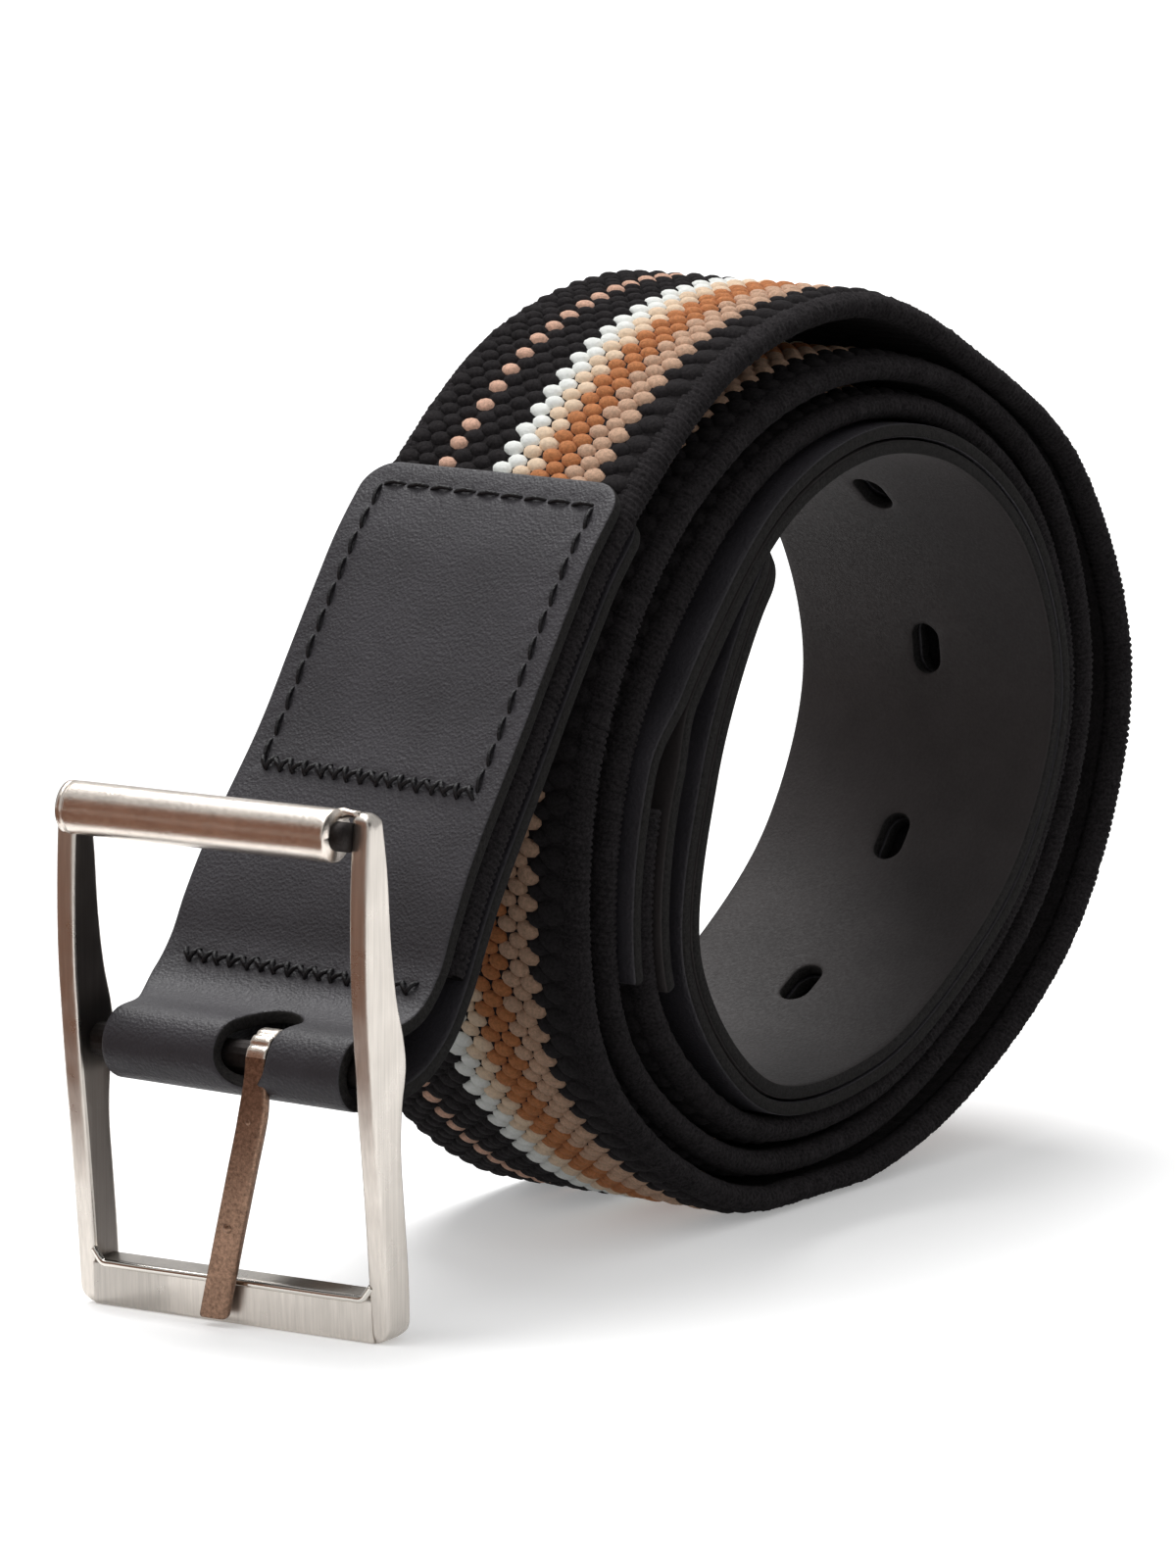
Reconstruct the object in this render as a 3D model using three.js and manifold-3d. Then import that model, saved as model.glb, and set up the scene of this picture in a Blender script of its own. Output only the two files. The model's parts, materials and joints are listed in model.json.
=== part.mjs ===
// A stretch belt rolled into a standing coil: striped elastic webbing, a leather tab that holds
// a frame buckle, and a perforated leather end. Millimetres, +Z up, belt width along X.
// The buckle is at the front (-Y). The origin is under the middle of the whole, at floor level.

import * as THREE from 'three';
import { mergeVertices } from 'three/addons/utils/BufferGeometryUtils.js';
import Module from 'manifold-3d';

const wasm = await Module();
wasm.setup();

// Strip sizes
const BELT_WIDTH = 35;
const WEBBING_THICKNESS = 3.2;
const TAB_LEATHER = 1.6;
const BILLET_LEATHER = 1.6;
const BILLET_WIDTH = 36.2;
const GAP = 0.3;
const EDGE_BEVEL = 0.5;
const THIN_BEVEL_SHARE = 0.6;

// The coil, seen from +X: each row is a direction from the coil's centre, and the distance of
// the strip's middle surface from the centre there on each turn, counted from the outside.
const COIL_CENTRE = { y: 31, z: 52.8 };
const COIL_RADII = [
  { direction: 150, turns: [56.8, 48.6, 41.2, 35.2] },
  { direction: 120, turns: [52.8, 44.5, 38.7, 33.9] },
  { direction: 90, turns: [49.9, 42.6, 38.0, 34.1] },
  { direction: 60, turns: [46.9, 43.3, 39.3, 35.3] },
  { direction: 30, turns: [51.4, 46.1, 41.7, 37.4] },
  { direction: 0, turns: [55.4, 47.0, 42.8, 38.6] },
  { direction: -30, turns: [53.2, 44.6, 40.4, 36.3] },
  { direction: -60, turns: [50.0, 43.1, 39.1, 35.0] },
  { direction: -90, turns: [51.2, 46.5, 42.5, 38.5] },
  { direction: -120, turns: [56.3, 52.1, 48.0, 43.9] },
  { direction: -150, turns: [59.9, 54.8, 49.2, 42.0] },
  { direction: -180, turns: [54.5, 48.2, 42.0, 33.4] },
];
const TIP_ROWS = [
  { direction: 150, radius: 30.4 },
  { direction: 135, radius: 30.4 },
  { direction: 118, radius: 30.0 },
];
// Height of the middle surface where each turn lies flat on the one below it
const RESTING_HEIGHTS = [1.6, 5.3, 9.0, 12.85];
// How far each turn has slid out along X from its neighbours
const SIDE_SLIDES = [0, 0, -0.6, 0.5, 0.5];

// The straight run of the belt from the buckle up to the coil
const TAB_RUN = [
  { y: -50.0, z: 36.0 },
  { y: -44.5, z: 45.7 },
  { y: -34.2, z: 59.3 },
  { y: -26.7, z: 70.2 },
];
const STEP = 5;
const LEAST_STEP = 1;

// Leather tab, with distances along the belt
const TAB_START = 1;
const TAB_LENGTH = 60.8;
const TAB_CORNER = 4;
const CORNER_STATIONS = [0.15, 0.6, 1.3];
const FOLD_WIDTH = 30.6;
const FOLD_SHIFT = 1.2;
const NECK_FRONT = [
  { y: -55.6, z: 34.5 },
  { y: -60.2, z: 33.0 },
];
const NECK_BACK = [
  { y: -60.2, z: 26.2 },
  { y: -55.2, z: 27.7 },
  { y: -50.6, z: 30.9 },
];
const FOLD_STEP = 1.4;
const FOLD_TURN = { from: 90, to: 270, step: 22.5 };
const NECK_WIDENS = [5, 16];
const PRONG_SLOT = { width: 6.6, x: 3.7, topEnd: -59.4, bottomEnd: -57, reach: 8, overlap: 0.01 };

// Perforated end
const BILLET_START = { outer: 908.3, inner: 905 };
const WEBBING_END = 927;
const CLOSING_START = 931;
const CLOSING_LENGTH = 9;
const WEBBING_START = 2;
const HOLE_FIRST = 989.9;
const HOLE_PITCH = 24.7;
const HOLE_COUNT = 5;
const HOLE_LENGTH = 6.4;
const HOLE_WIDTH = 3.6;
const HOLE_CUT_DEPTH = 10;
const TIP_ROUNDING = 11;
const TIP_NARROWING = 0.9;
const TIP_STATIONS = [0.75, 0.5, 0.3, 0.15, 0.05, 0];

// Buckle, with heights and depths from the bar's axis
const BAR = { y: -64.9, z: 29.55, radius: 1.9 };
const FOLD_RADIUS = 2.5;
const FOLD_ROLL = THREE.MathUtils.degToRad(1.1);
const BUCKLE_YAW = THREE.MathUtils.degToRad(4.5);
const TWIST_FULL_BELOW = 38;
const TWIST_ENDS_AT = 62;
const INSIDE_WIDTH = 35.4;
const RAIL_WIDTH = 2.3;
const RAIL_BEVEL = 0.35;
const RAIL_ROWS = [
  { height: 27.9, front: -3.7, back: -0.9 },
  { height: 22.0, front: -4.2, back: 0.1 },
  { height: 14.0, front: -4.4, back: 0.8 },
  { height: 8.0, front: -4.2, back: 1.8 },
  { height: 3.6, front: -3.8, back: 3.1 },
  { height: 0.4, front: -3.5, back: 3.6 },
  { height: -4.2, front: -3.0, back: 2.8 },
  { height: -9.0, front: -2.4, back: 2.6 },
  { height: -16.0, front: -1.6, back: 3.3 },
  { height: -23.0, front: -0.9, back: 4.0 },
  { height: -28.6, front: -0.45, back: 4.2 },
];
const RAIL_CREST = { half: 0.5, rise: 0.7 };
const RAIL_FOOT = { front: 0.6, back: 1 };
const FRONT_BAR = { top: -24.3, bottom: -29.55, front: -0.75, back: 3.9, bevel: 0.5, lean: 0.2 };
const BEAD = { radius: 0.4, inset: 0.15 };
const REAR_ROD = { y: -4.4, z: 26.2, radius: 2.9, end: 15.8, neckRadius: 1.9, neckOverlap: 1 };

// Prong, curled round the bar and lying against the front bar's face
const PRONG_THICKNESS = 1.2;
const PRONG_WIDTH = 3.4;
const PRONG_CURL_WIDTH = 2.6;
const PRONG_CURL_INSIDE = 2.25;
const PRONG_CURL_TURN = { from: -80, to: 180, step: 20 };
const PRONG_WIDENS_OVER = 6;
const PRONG_ROWS = [
  { y: -3.05, z: -5.0, x: 4.7 },
  { y: -3.0, z: -12.0, x: 3.1 },
  { y: -2.6, z: -20.0, x: 1.0 },
  { y: -2.1, z: -28.6, x: -1.25 },
];
const PRONG_AT_BAR = 5.05;

function material(color, roughness, metalness) {
  return new THREE.MeshStandardMaterial({ color, roughness, metalness });
}

const WEBBING_CLOTH = material(0x2a2628, 0.9, 0);
const GRAINED_LEATHER = material(0x38353a, 0.55, 0);
const SMOOTH_LEATHER = material(0x3c3635, 0.7, 0);
const BRUSHED_NICKEL = material(0xa8a299, 0.35, 1);
const DARK_NICKEL = material(0x7d6a5c, 0.4, 1);

// Points of the coil's middle surface, in order from the tab to the tip
function routePoints() {
  const points = TAB_RUN.map((row) => new THREE.Vector3(0, row.y, row.z));
  const turnCount = COIL_RADII[0].turns.length;
  for (let turn = 0; turn < turnCount; turn += 1) {
    COIL_RADII.forEach((row, index) => {
      const along = index / COIL_RADII.length;
      const slide = THREE.MathUtils.lerp(SIDE_SLIDES[turn], SIDE_SLIDES[turn + 1], along);
      points.push(polarPoint(row.direction, row.turns[turn], slide));
    });
  }
  TIP_ROWS.forEach((row) => points.push(polarPoint(row.direction, row.radius, SIDE_SLIDES[turnCount])));
  return points;
}

function polarPoint(degrees, radius, slide) {
  const angle = THREE.MathUtils.degToRad(degrees);
  const y = COIL_CENTRE.y + radius * Math.cos(angle);
  const z = COIL_CENTRE.z + radius * Math.sin(angle);
  return new THREE.Vector3(slide, y, z);
}

// The turn that a point belongs to, counted by how often the route has passed straight down
function settle(points) {
  let turn = 0;
  let wasRight = false;
  return points.map((point) => {
    const isRight = point.y > COIL_CENTRE.y;
    const isAbove = point.z > COIL_CENTRE.z;
    if (isAbove && isRight && !wasRight) turn += 1;
    if (isAbove) wasRight = isRight;
    const level = RESTING_HEIGHTS[Math.min(Math.max(turn - 1, 0), RESTING_HEIGHTS.length - 1)];
    return new THREE.Vector3(point.x, point.y, Math.max(point.z, level));
  });
}

// Stations carry a point, the distance along the path and the outward normal in the YZ plane
function stationsAlong(points) {
  let distance = 0;
  return points.map((point, index) => {
    const before = points[Math.max(index - 1, 0)];
    const after = points[Math.min(index + 1, points.length - 1)];
    if (index > 0) distance += point.distanceTo(before);
    const length = Math.hypot(after.y - before.y, after.z - before.z);
    const normal = { y: -(after.z - before.z) / length, z: (after.y - before.y) / length };
    return { point, distance, normal };
  });
}

function smoothPath(points, step) {
  const curve = new THREE.CatmullRomCurve3(points, false, 'centripetal');
  return curve.getSpacedPoints(Math.round(curve.getLength() / step));
}

const ROUTE = stationsAlong(settle(smoothPath(routePoints(), STEP)));

function routeAt(distance) {
  const last = ROUTE.length - 1;
  let index = ROUTE.findIndex((station) => station.distance >= distance);
  if (index < 0) index = last;
  if (index === 0) index = 1;
  const before = ROUTE[index - 1];
  const after = ROUTE[index];
  const share = (distance - before.distance) / (after.distance - before.distance);
  const point = before.point.clone().lerp(after.point, share);
  const y = THREE.MathUtils.lerp(before.normal.y, after.normal.y, share);
  const z = THREE.MathUtils.lerp(before.normal.z, after.normal.z, share);
  const length = Math.hypot(y, z);
  return { point, distance, normal: { y: y / length, z: z / length } };
}

function inStretch(distance, start, end) {
  return distance > start + LEAST_STEP && distance < end - LEAST_STEP;
}

function routeBetween(start, end) {
  const inside = ROUTE.filter((station) => inStretch(station.distance, start, end));
  return [routeAt(start), ...inside, routeAt(end)];
}

// The tab and the start of the webbing turn with the buckle and hang a little lower on the right
function twisted(x, y, z) {
  const share = 1 - THREE.MathUtils.smoothstep(z, TWIST_FULL_BELOW, TWIST_ENDS_AT);
  return [x, y + x * Math.tan(BUCKLE_YAW) * share, z - x * Math.tan(FOLD_ROLL) * share];
}

// Closed solid of a flat strip with bevelled edges, swept through the stations
function strip(stations, options) {
  const { thickness, halfWidth, offset, twists } = options;
  const half = thickness / 2;
  const bevel = Math.min(EDGE_BEVEL, half * THIN_BEVEL_SHARE);
  const positions = [];
  const corners = 8;
  stations.forEach((station) => {
    const wide = halfWidth(station.distance);
    const middle = offset(station.distance);
    const outline = [
      [-wide, -half + bevel], [-wide + bevel, -half], [wide - bevel, -half], [wide, -half + bevel],
      [wide, half - bevel], [wide - bevel, half], [-wide + bevel, half], [-wide, half - bevel],
    ];
    outline.forEach(([across, out]) => {
      const x = station.point.x + across;
      const y = station.point.y + station.normal.y * (middle + out);
      const z = station.point.z + station.normal.z * (middle + out);
      positions.push(...(twists(station) ? twisted(x, y, z) : [x, y, z]));
    });
  });
  return closedSweep(positions, stations.length, corners);
}

// Joins rings of corner points into one closed surface, with flat ends
function closedSweep(positions, rings, corners) {
  const faces = [];
  for (let ring = 0; ring < rings - 1; ring += 1) {
    for (let corner = 0; corner < corners; corner += 1) {
      const next = (corner + 1) % corners;
      const a = ring * corners + corner;
      const b = ring * corners + next;
      faces.push(a, b, b + corners, a, b + corners, a + corners);
    }
  }
  const last = (rings - 1) * corners;
  for (let corner = 1; corner < corners - 1; corner += 1) {
    faces.push(0, corner + 1, corner);
    faces.push(last, last + corner, last + corner + 1);
  }
  const geometry = new THREE.BufferGeometry();
  geometry.setAttribute('position', new THREE.Float32BufferAttribute(positions, 3));
  geometry.setIndex(faces);
  return facingOut(geometry);
}

function signedVolume(geometry) {
  const position = geometry.getAttribute('position');
  const index = geometry.getIndex();
  const corner = [0, 1, 2].map(() => new THREE.Vector3());
  let volume = 0;
  for (let face = 0; face < index.count; face += 3) {
    corner.forEach((point, at) => point.fromBufferAttribute(position, index.getX(face + at)));
    volume += corner[0].dot(corner[1].clone().cross(corner[2]));
  }
  return volume;
}

function facingOut(geometry) {
  if (signedVolume(geometry) < 0) {
    const index = geometry.getIndex();
    for (let face = 0; face < index.count; face += 3) {
      const second = index.getX(face + 1);
      index.setX(face + 1, index.getX(face + 2));
      index.setX(face + 2, second);
    }
  }
  return geometry;
}

function solid(geometry) {
  const bare = geometry.clone();
  bare.deleteAttribute('normal');
  bare.deleteAttribute('uv');
  const merged = mergeVertices(bare, 1e-4);
  return new wasm.Manifold(new wasm.Mesh({
    numProp: 3,
    vertProperties: new Float32Array(merged.getAttribute('position').array),
    triVerts: new Uint32Array(merged.getIndex().array),
  }));
}

function fromSolid(body) {
  const mesh = body.getMesh();
  const geometry = new THREE.BufferGeometry();
  geometry.setAttribute('position', new THREE.BufferAttribute(mesh.vertProperties, 3));
  geometry.setIndex(new THREE.BufferAttribute(mesh.triVerts, 1));
  geometry.computeVertexNormals();
  return geometry;
}

function rounded(distance, ending, radius) {
  const left = ending - distance;
  if (left >= radius) return 0;
  const reach = radius - Math.max(left, 0);
  return radius - Math.sqrt(radius * radius - reach * reach);
}

function evenlySpaced(start, end, step) {
  const count = Math.ceil((end - start) / step);
  return Array.from({ length: count + 1 }, (_, index) => start + ((end - start) * index) / count);
}

// Stations that come closer together towards a rounded end
function roundedStations(start, end, radius) {
  const near = TIP_STATIONS.map((share) => routeAt(end - radius * share));
  return [...routeBetween(start, end - radius), ...near];
}

function webbing() {
  return strip(routeBetween(WEBBING_START, WEBBING_END), {
    thickness: WEBBING_THICKNESS,
    halfWidth: () => BELT_WIDTH / 2,
    offset: () => 0,
    twists: (station) => station.distance < TAB_LENGTH,
  });
}

function tabPath() {
  const away = WEBBING_THICKNESS / 2 + GAP + TAB_LEATHER / 2;
  const side = (distance, sign) => {
    const { point, normal } = routeAt(distance);
    return new THREE.Vector3(0, point.y + sign * away * normal.y, point.z + sign * away * normal.z);
  };
  const spacing = evenlySpaced(TAB_START, TAB_LENGTH, STEP);
  const front = [...spacing].reverse().map((distance) => side(distance, 1));
  const back = spacing.map((distance) => side(distance, -1));
  const reach = FOLD_RADIUS + TAB_LEATHER / 2;
  const fold = evenlySpaced(FOLD_TURN.from, FOLD_TURN.to, FOLD_TURN.step).map((degrees) => {
    const angle = THREE.MathUtils.degToRad(degrees);
    return new THREE.Vector3(0, BAR.y + reach * Math.cos(angle), BAR.z + reach * Math.sin(angle));
  });
  const neck = (rows) => rows.map((row) => new THREE.Vector3(0, row.y, row.z));
  return [...front, ...neck(NECK_FRONT), ...fold, ...neck(NECK_BACK), ...back];
}

function buckleTab() {
  const path = stationsAlong(smoothPath(tabPath(), FOLD_STEP));
  const total = path[path.length - 1].distance;
  const foldPlace = path.reduce((best, station) => (station.point.y < best.point.y ? station : best));
  const widening = (distance) => {
    const fromFold = Math.abs(distance - foldPlace.distance);
    return THREE.MathUtils.smoothstep(fromFold, ...NECK_WIDENS);
  };
  const halfWidth = (distance) => {
    const half = THREE.MathUtils.lerp(FOLD_WIDTH, BELT_WIDTH, widening(distance)) / 2;
    return half - rounded(distance, total, TAB_CORNER) - rounded(total - distance, total, TAB_CORNER);
  };
  const atEnds = [...CORNER_STATIONS, ...CORNER_STATIONS.map((distance) => total - distance)];
  const stations = [...path, ...atEnds.map((distance) => between(path, distance))];
  stations.sort((first, second) => first.distance - second.distance);
  stations.forEach((station) => station.point.setX(FOLD_SHIFT * (1 - widening(station.distance))));
  const folded = solid(strip(stations, {
    thickness: TAB_LEATHER,
    halfWidth,
    offset: () => 0,
    twists: () => true,
  }));
  const { topEnd, bottomEnd, reach, overlap } = PRONG_SLOT;
  const top = slotCutter(topEnd, BAR.z, BAR.z + reach);
  const bottom = slotCutter(bottomEnd, BAR.z - reach, BAR.z + overlap);
  return fromSolid(folded.subtract(top.add(bottom)));
}

function between(path, distance) {
  const index = Math.max(path.findIndex((station) => station.distance >= distance), 1);
  const before = path[index - 1];
  const after = path[index];
  const share = (distance - before.distance) / (after.distance - before.distance);
  return { point: before.point.clone().lerp(after.point, share), distance, normal: before.normal };
}

// A slot open towards the front, with a round end, cut straight down through the fold
function slotCutter(endY, bottom, top) {
  const half = PRONG_SLOT.width / 2;
  const openEnd = BAR.y - PRONG_SLOT.reach;
  const shape = new THREE.Shape();
  shape.moveTo(PRONG_SLOT.x - half, openEnd);
  shape.lineTo(PRONG_SLOT.x + half, openEnd);
  shape.lineTo(PRONG_SLOT.x + half, endY - half);
  shape.absarc(PRONG_SLOT.x, endY - half, half, 0, Math.PI, false);
  const depth = top - bottom;
  const geometry = new THREE.ExtrudeGeometry(shape, { depth, bevelEnabled: false, curveSegments: 6 });
  geometry.translate(0, 0, bottom);
  return solid(geometry);
}

function billetLeather(sign) {
  const end = ROUTE[ROUTE.length - 1].distance;
  const thick = BILLET_LEATHER / 2;
  const apart = WEBBING_THICKNESS / 2 + GAP + thick;
  const together = GAP / 2 + thick;
  const start = sign > 0 ? BILLET_START.outer : BILLET_START.inner;
  const geometry = strip(roundedStations(start, end, TIP_ROUNDING), {
    thickness: BILLET_LEATHER,
    halfWidth: (distance) => {
      const tip = rounded(distance, end, TIP_ROUNDING) * (TIP_NARROWING * BILLET_WIDTH / 2 / TIP_ROUNDING);
      return BILLET_WIDTH / 2 - tip;
    },
    offset: (distance) => {
      const closing = THREE.MathUtils.smoothstep(distance, CLOSING_START, CLOSING_START + CLOSING_LENGTH);
      return sign * THREE.MathUtils.lerp(apart, together, closing);
    },
    twists: () => false,
  });
  let leather = solid(geometry);
  for (let hole = 0; hole < HOLE_COUNT; hole += 1) {
    leather = leather.subtract(holeCutter(HOLE_FIRST + hole * HOLE_PITCH));
  }
  return fromSolid(leather);
}

// A slotted hole, long way along the belt, through both leathers
function holeCutter(distance) {
  const { point, normal } = routeAt(distance);
  const straight = (HOLE_LENGTH - HOLE_WIDTH) / 2;
  const shape = new THREE.Shape();
  shape.absarc(0, straight, HOLE_WIDTH / 2, 0, Math.PI, false);
  shape.absarc(0, -straight, HOLE_WIDTH / 2, Math.PI, 2 * Math.PI, false);
  const depth = HOLE_CUT_DEPTH;
  const geometry = new THREE.ExtrudeGeometry(shape, { depth, bevelEnabled: false, curveSegments: 5 });
  geometry.translate(0, 0, -depth / 2);
  const out = new THREE.Vector3(0, normal.y, normal.z);
  const across = new THREE.Vector3(1, 0, 0);
  const along = new THREE.Vector3().crossVectors(out, across);
  const place = new THREE.Matrix4().makeBasis(across, along, out).setPosition(point);
  return solid(geometry.applyMatrix4(place));
}

// Extrudes an outline in the YZ plane along X, from one place to another
function alongX(shape, from, to, bevel) {
  const geometry = new THREE.ExtrudeGeometry(shape, {
    depth: to - from - 2 * bevel,
    bevelEnabled: bevel > 0,
    bevelSize: bevel,
    bevelThickness: bevel,
    bevelOffset: -bevel,
    bevelSegments: 1,
    curveSegments: 8,
  });
  geometry.translate(0, 0, from + bevel);
  const place = new THREE.Matrix4().makeBasis(
    new THREE.Vector3(0, 1, 0),
    new THREE.Vector3(0, 0, 1),
    new THREE.Vector3(1, 0, 0),
  );
  return geometry.applyMatrix4(place);
}

function disc(y, z, radius) {
  const shape = new THREE.Shape();
  shape.absarc(y, z, radius, 0, 2 * Math.PI, false);
  return shape;
}

function railShape() {
  const front = RAIL_ROWS.map((row) => new THREE.Vector2(row.front, row.height));
  const back = [...RAIL_ROWS].reverse().map((row) => new THREE.Vector2(row.back, row.height));
  const top = RAIL_ROWS[0];
  const bottom = RAIL_ROWS[RAIL_ROWS.length - 1];
  const crest = (top.front + top.back) / 2;
  const shape = new THREE.Shape();
  shape.moveTo(front[0].x, front[0].y);
  front.slice(1).forEach((point) => shape.lineTo(point.x, point.y));
  shape.lineTo(bottom.front + RAIL_FOOT.front, FRONT_BAR.bottom);
  shape.lineTo(bottom.back - RAIL_FOOT.back, FRONT_BAR.bottom);
  back.forEach((point) => shape.lineTo(point.x, point.y));
  shape.lineTo(crest + RAIL_CREST.half, top.height + RAIL_CREST.rise);
  shape.lineTo(crest - RAIL_CREST.half, top.height + RAIL_CREST.rise);
  return shape;
}

function frontBarShape() {
  const { top, bottom, front, back, bevel, lean } = FRONT_BAR;
  const shape = new THREE.Shape();
  shape.moveTo(front, top - bevel);
  shape.lineTo(front + lean, bottom + bevel);
  shape.lineTo(front + lean + bevel, bottom);
  shape.lineTo(back - bevel, bottom);
  shape.lineTo(back, bottom + bevel);
  shape.lineTo(back, top - bevel);
  shape.lineTo(back - bevel, top);
  shape.lineTo(front + bevel, top);
  return shape;
}

function buckleFrame() {
  const inner = INSIDE_WIDTH / 2;
  const outer = inner + RAIL_WIDTH;
  const into = inner + RAIL_WIDTH / 2;
  const { front, top } = FRONT_BAR;
  const { y, z, radius, end, neckRadius, neckOverlap } = REAR_ROD;
  const pieces = [
    alongX(railShape(), inner, outer, RAIL_BEVEL),
    alongX(railShape(), -outer, -inner, RAIL_BEVEL),
    alongX(frontBarShape(), -into, into, 0),
    alongX(disc(front + BEAD.inset, top - BEAD.radius, BEAD.radius), -into, into, 0),
    alongX(disc(y, z, radius), -into, end, 0),
    alongX(disc(y, z, neckRadius), end - neckOverlap, into, 0),
  ];
  const joined = pieces.map(solid).reduce((whole, piece) => whole.add(piece));
  return fromSolid(joined);
}

function buckleBar() {
  const half = INSIDE_WIDTH / 2 - GAP;
  return alongX(disc(0, 0, BAR.radius), -half, half, 0);
}

function prong() {
  const radius = PRONG_CURL_INSIDE + PRONG_THICKNESS / 2;
  const { from, to, step } = PRONG_CURL_TURN;
  const curl = evenlySpaced(from, to, step).map((degrees) => {
    const angle = THREE.MathUtils.degToRad(degrees);
    return new THREE.Vector3(PRONG_AT_BAR, radius * Math.cos(angle), radius * Math.sin(angle));
  });
  const blade = PRONG_ROWS.map((row) => new THREE.Vector3(row.x, row.y, row.z));
  const stations = stationsAlong([...curl, ...blade]);
  const bladeStart = stations[curl.length].distance;
  return strip(stations, {
    thickness: PRONG_THICKNESS,
    halfWidth: (distance) => {
      const widening = THREE.MathUtils.smoothstep(distance, bladeStart, bladeStart + PRONG_WIDENS_OVER);
      return THREE.MathUtils.lerp(PRONG_CURL_WIDTH, PRONG_WIDTH, widening) / 2;
    },
    offset: () => 0,
    twists: () => false,
  });
}

function named(name, geometry, look) {
  const mesh = new THREE.Mesh(geometry, look);
  mesh.name = name;
  return mesh;
}

const coil = new THREE.Group();
coil.add(named('webbing', webbing(), WEBBING_CLOTH));
coil.add(named('buckle_tab', buckleTab(), GRAINED_LEATHER));
coil.add(named('billet_face', billetLeather(1), GRAINED_LEATHER));
coil.add(named('billet_lining', billetLeather(-1), SMOOTH_LEATHER));

const buckle = new THREE.Group();
buckle.position.set(0, BAR.y, BAR.z);
buckle.rotation.z = BUCKLE_YAW;
buckle.add(named('buckle_frame', buckleFrame(), BRUSHED_NICKEL));
buckle.add(named('buckle_bar', buckleBar(), DARK_NICKEL));
buckle.add(named('prong', prong(), DARK_NICKEL));

const belt = new THREE.Group();
belt.add(coil);
belt.add(buckle);

// Stand the whole with its origin under the middle of its box
const box = new THREE.Box3().setFromObject(belt, true);
const middle = box.getCenter(new THREE.Vector3());
belt.position.set(-middle.x, -middle.y, -box.min.z);

export default belt;
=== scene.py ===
"""Looks of a rolled stretch belt: striped webbing, stitched leather tab, perforated end, buckle.

Lengths are millimetres until a mesh is made, which is in metres. The belt's surfaces are described
flat, as along, across and out, and bent round the coil by a route.
"""

import json
import math

import bmesh
import bpy
import numpy as np
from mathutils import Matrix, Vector
from mathutils.geometry import delaunay_2d_cdt


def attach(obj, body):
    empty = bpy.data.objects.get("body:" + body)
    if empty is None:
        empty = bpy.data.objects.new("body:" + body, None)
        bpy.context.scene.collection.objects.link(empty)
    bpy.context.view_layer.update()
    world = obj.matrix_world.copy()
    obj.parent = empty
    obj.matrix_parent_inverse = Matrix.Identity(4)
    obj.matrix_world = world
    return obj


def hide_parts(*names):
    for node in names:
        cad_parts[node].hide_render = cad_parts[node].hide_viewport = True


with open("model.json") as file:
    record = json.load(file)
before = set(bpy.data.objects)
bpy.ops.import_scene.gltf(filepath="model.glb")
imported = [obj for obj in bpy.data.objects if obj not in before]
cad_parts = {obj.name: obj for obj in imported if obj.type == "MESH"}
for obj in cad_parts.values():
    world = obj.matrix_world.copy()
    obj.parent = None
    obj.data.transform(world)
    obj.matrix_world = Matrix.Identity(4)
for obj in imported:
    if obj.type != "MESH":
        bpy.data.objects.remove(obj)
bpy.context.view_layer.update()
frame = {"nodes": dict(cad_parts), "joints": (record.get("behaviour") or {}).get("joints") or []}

METRES = 0.001

# The route of the webbing's middle surface, seen from +X, as in the solid model
COIL_CENTRE = (31.0, 52.8)
COIL_ROWS = [
    {"direction": 150, "turns": [56.8, 48.6, 41.2, 35.2]},
    {"direction": 120, "turns": [52.8, 44.5, 38.7, 33.9]},
    {"direction": 90, "turns": [49.9, 42.6, 38.0, 34.1]},
    {"direction": 60, "turns": [46.9, 43.3, 39.3, 35.3]},
    {"direction": 30, "turns": [51.4, 46.1, 41.7, 37.4]},
    {"direction": 0, "turns": [55.4, 47.0, 42.8, 38.6]},
    {"direction": -30, "turns": [53.2, 44.6, 40.4, 36.3]},
    {"direction": -60, "turns": [50.0, 43.1, 39.1, 35.0]},
    {"direction": -90, "turns": [51.2, 46.5, 42.5, 38.5]},
    {"direction": -120, "turns": [56.3, 52.1, 48.0, 43.9]},
    {"direction": -150, "turns": [59.9, 54.8, 49.2, 42.0]},
    {"direction": -180, "turns": [54.5, 48.2, 42.0, 33.4]},
]
TIP_ROWS = [
    {"direction": 150, "radius": 30.4},
    {"direction": 135, "radius": 30.4},
    {"direction": 118, "radius": 30.0},
]
TAB_RUN = [(-50.0, 36.0), (-44.5, 45.7), (-34.2, 59.3), (-26.7, 70.2)]
RESTING_HEIGHTS = [1.6, 5.3, 9.0, 12.85]
SIDE_SLIDES = [0, 0, -0.6, 0.5, 0.5]
STATION_STEP = 5.0
ROUTE_SAMPLES = 60

# Strip sizes
HALF_WIDTH = 17.5
HALF_THICKNESS = 1.6
LEATHER = 1.6
LAYER_GAP = 0.3
TAB_LENGTH = 60.8
WEBBING_START = 2.0
WEBBING_END = 927.0

# The buckle's bar, and how the tab turns with the buckle
BAR_Y = -64.9
BAR_Z = 29.55
BUCKLE_YAW = math.radians(4.5)
FOLD_ROLL = math.radians(1.1)
TWIST_FULL_BELOW = 38.0
TWIST_ENDS_AT = 62.0
bar_place = frame["joints"][0]["pos_m"]
SHIFT = np.array(bar_place) / METRES - np.array([0, BAR_Y, BAR_Z])


def smoothstep(value, low, high):
    share = np.clip((np.asarray(value, float) - low) / (high - low), 0, 1)
    return share * share * (3 - 2 * share)


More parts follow.
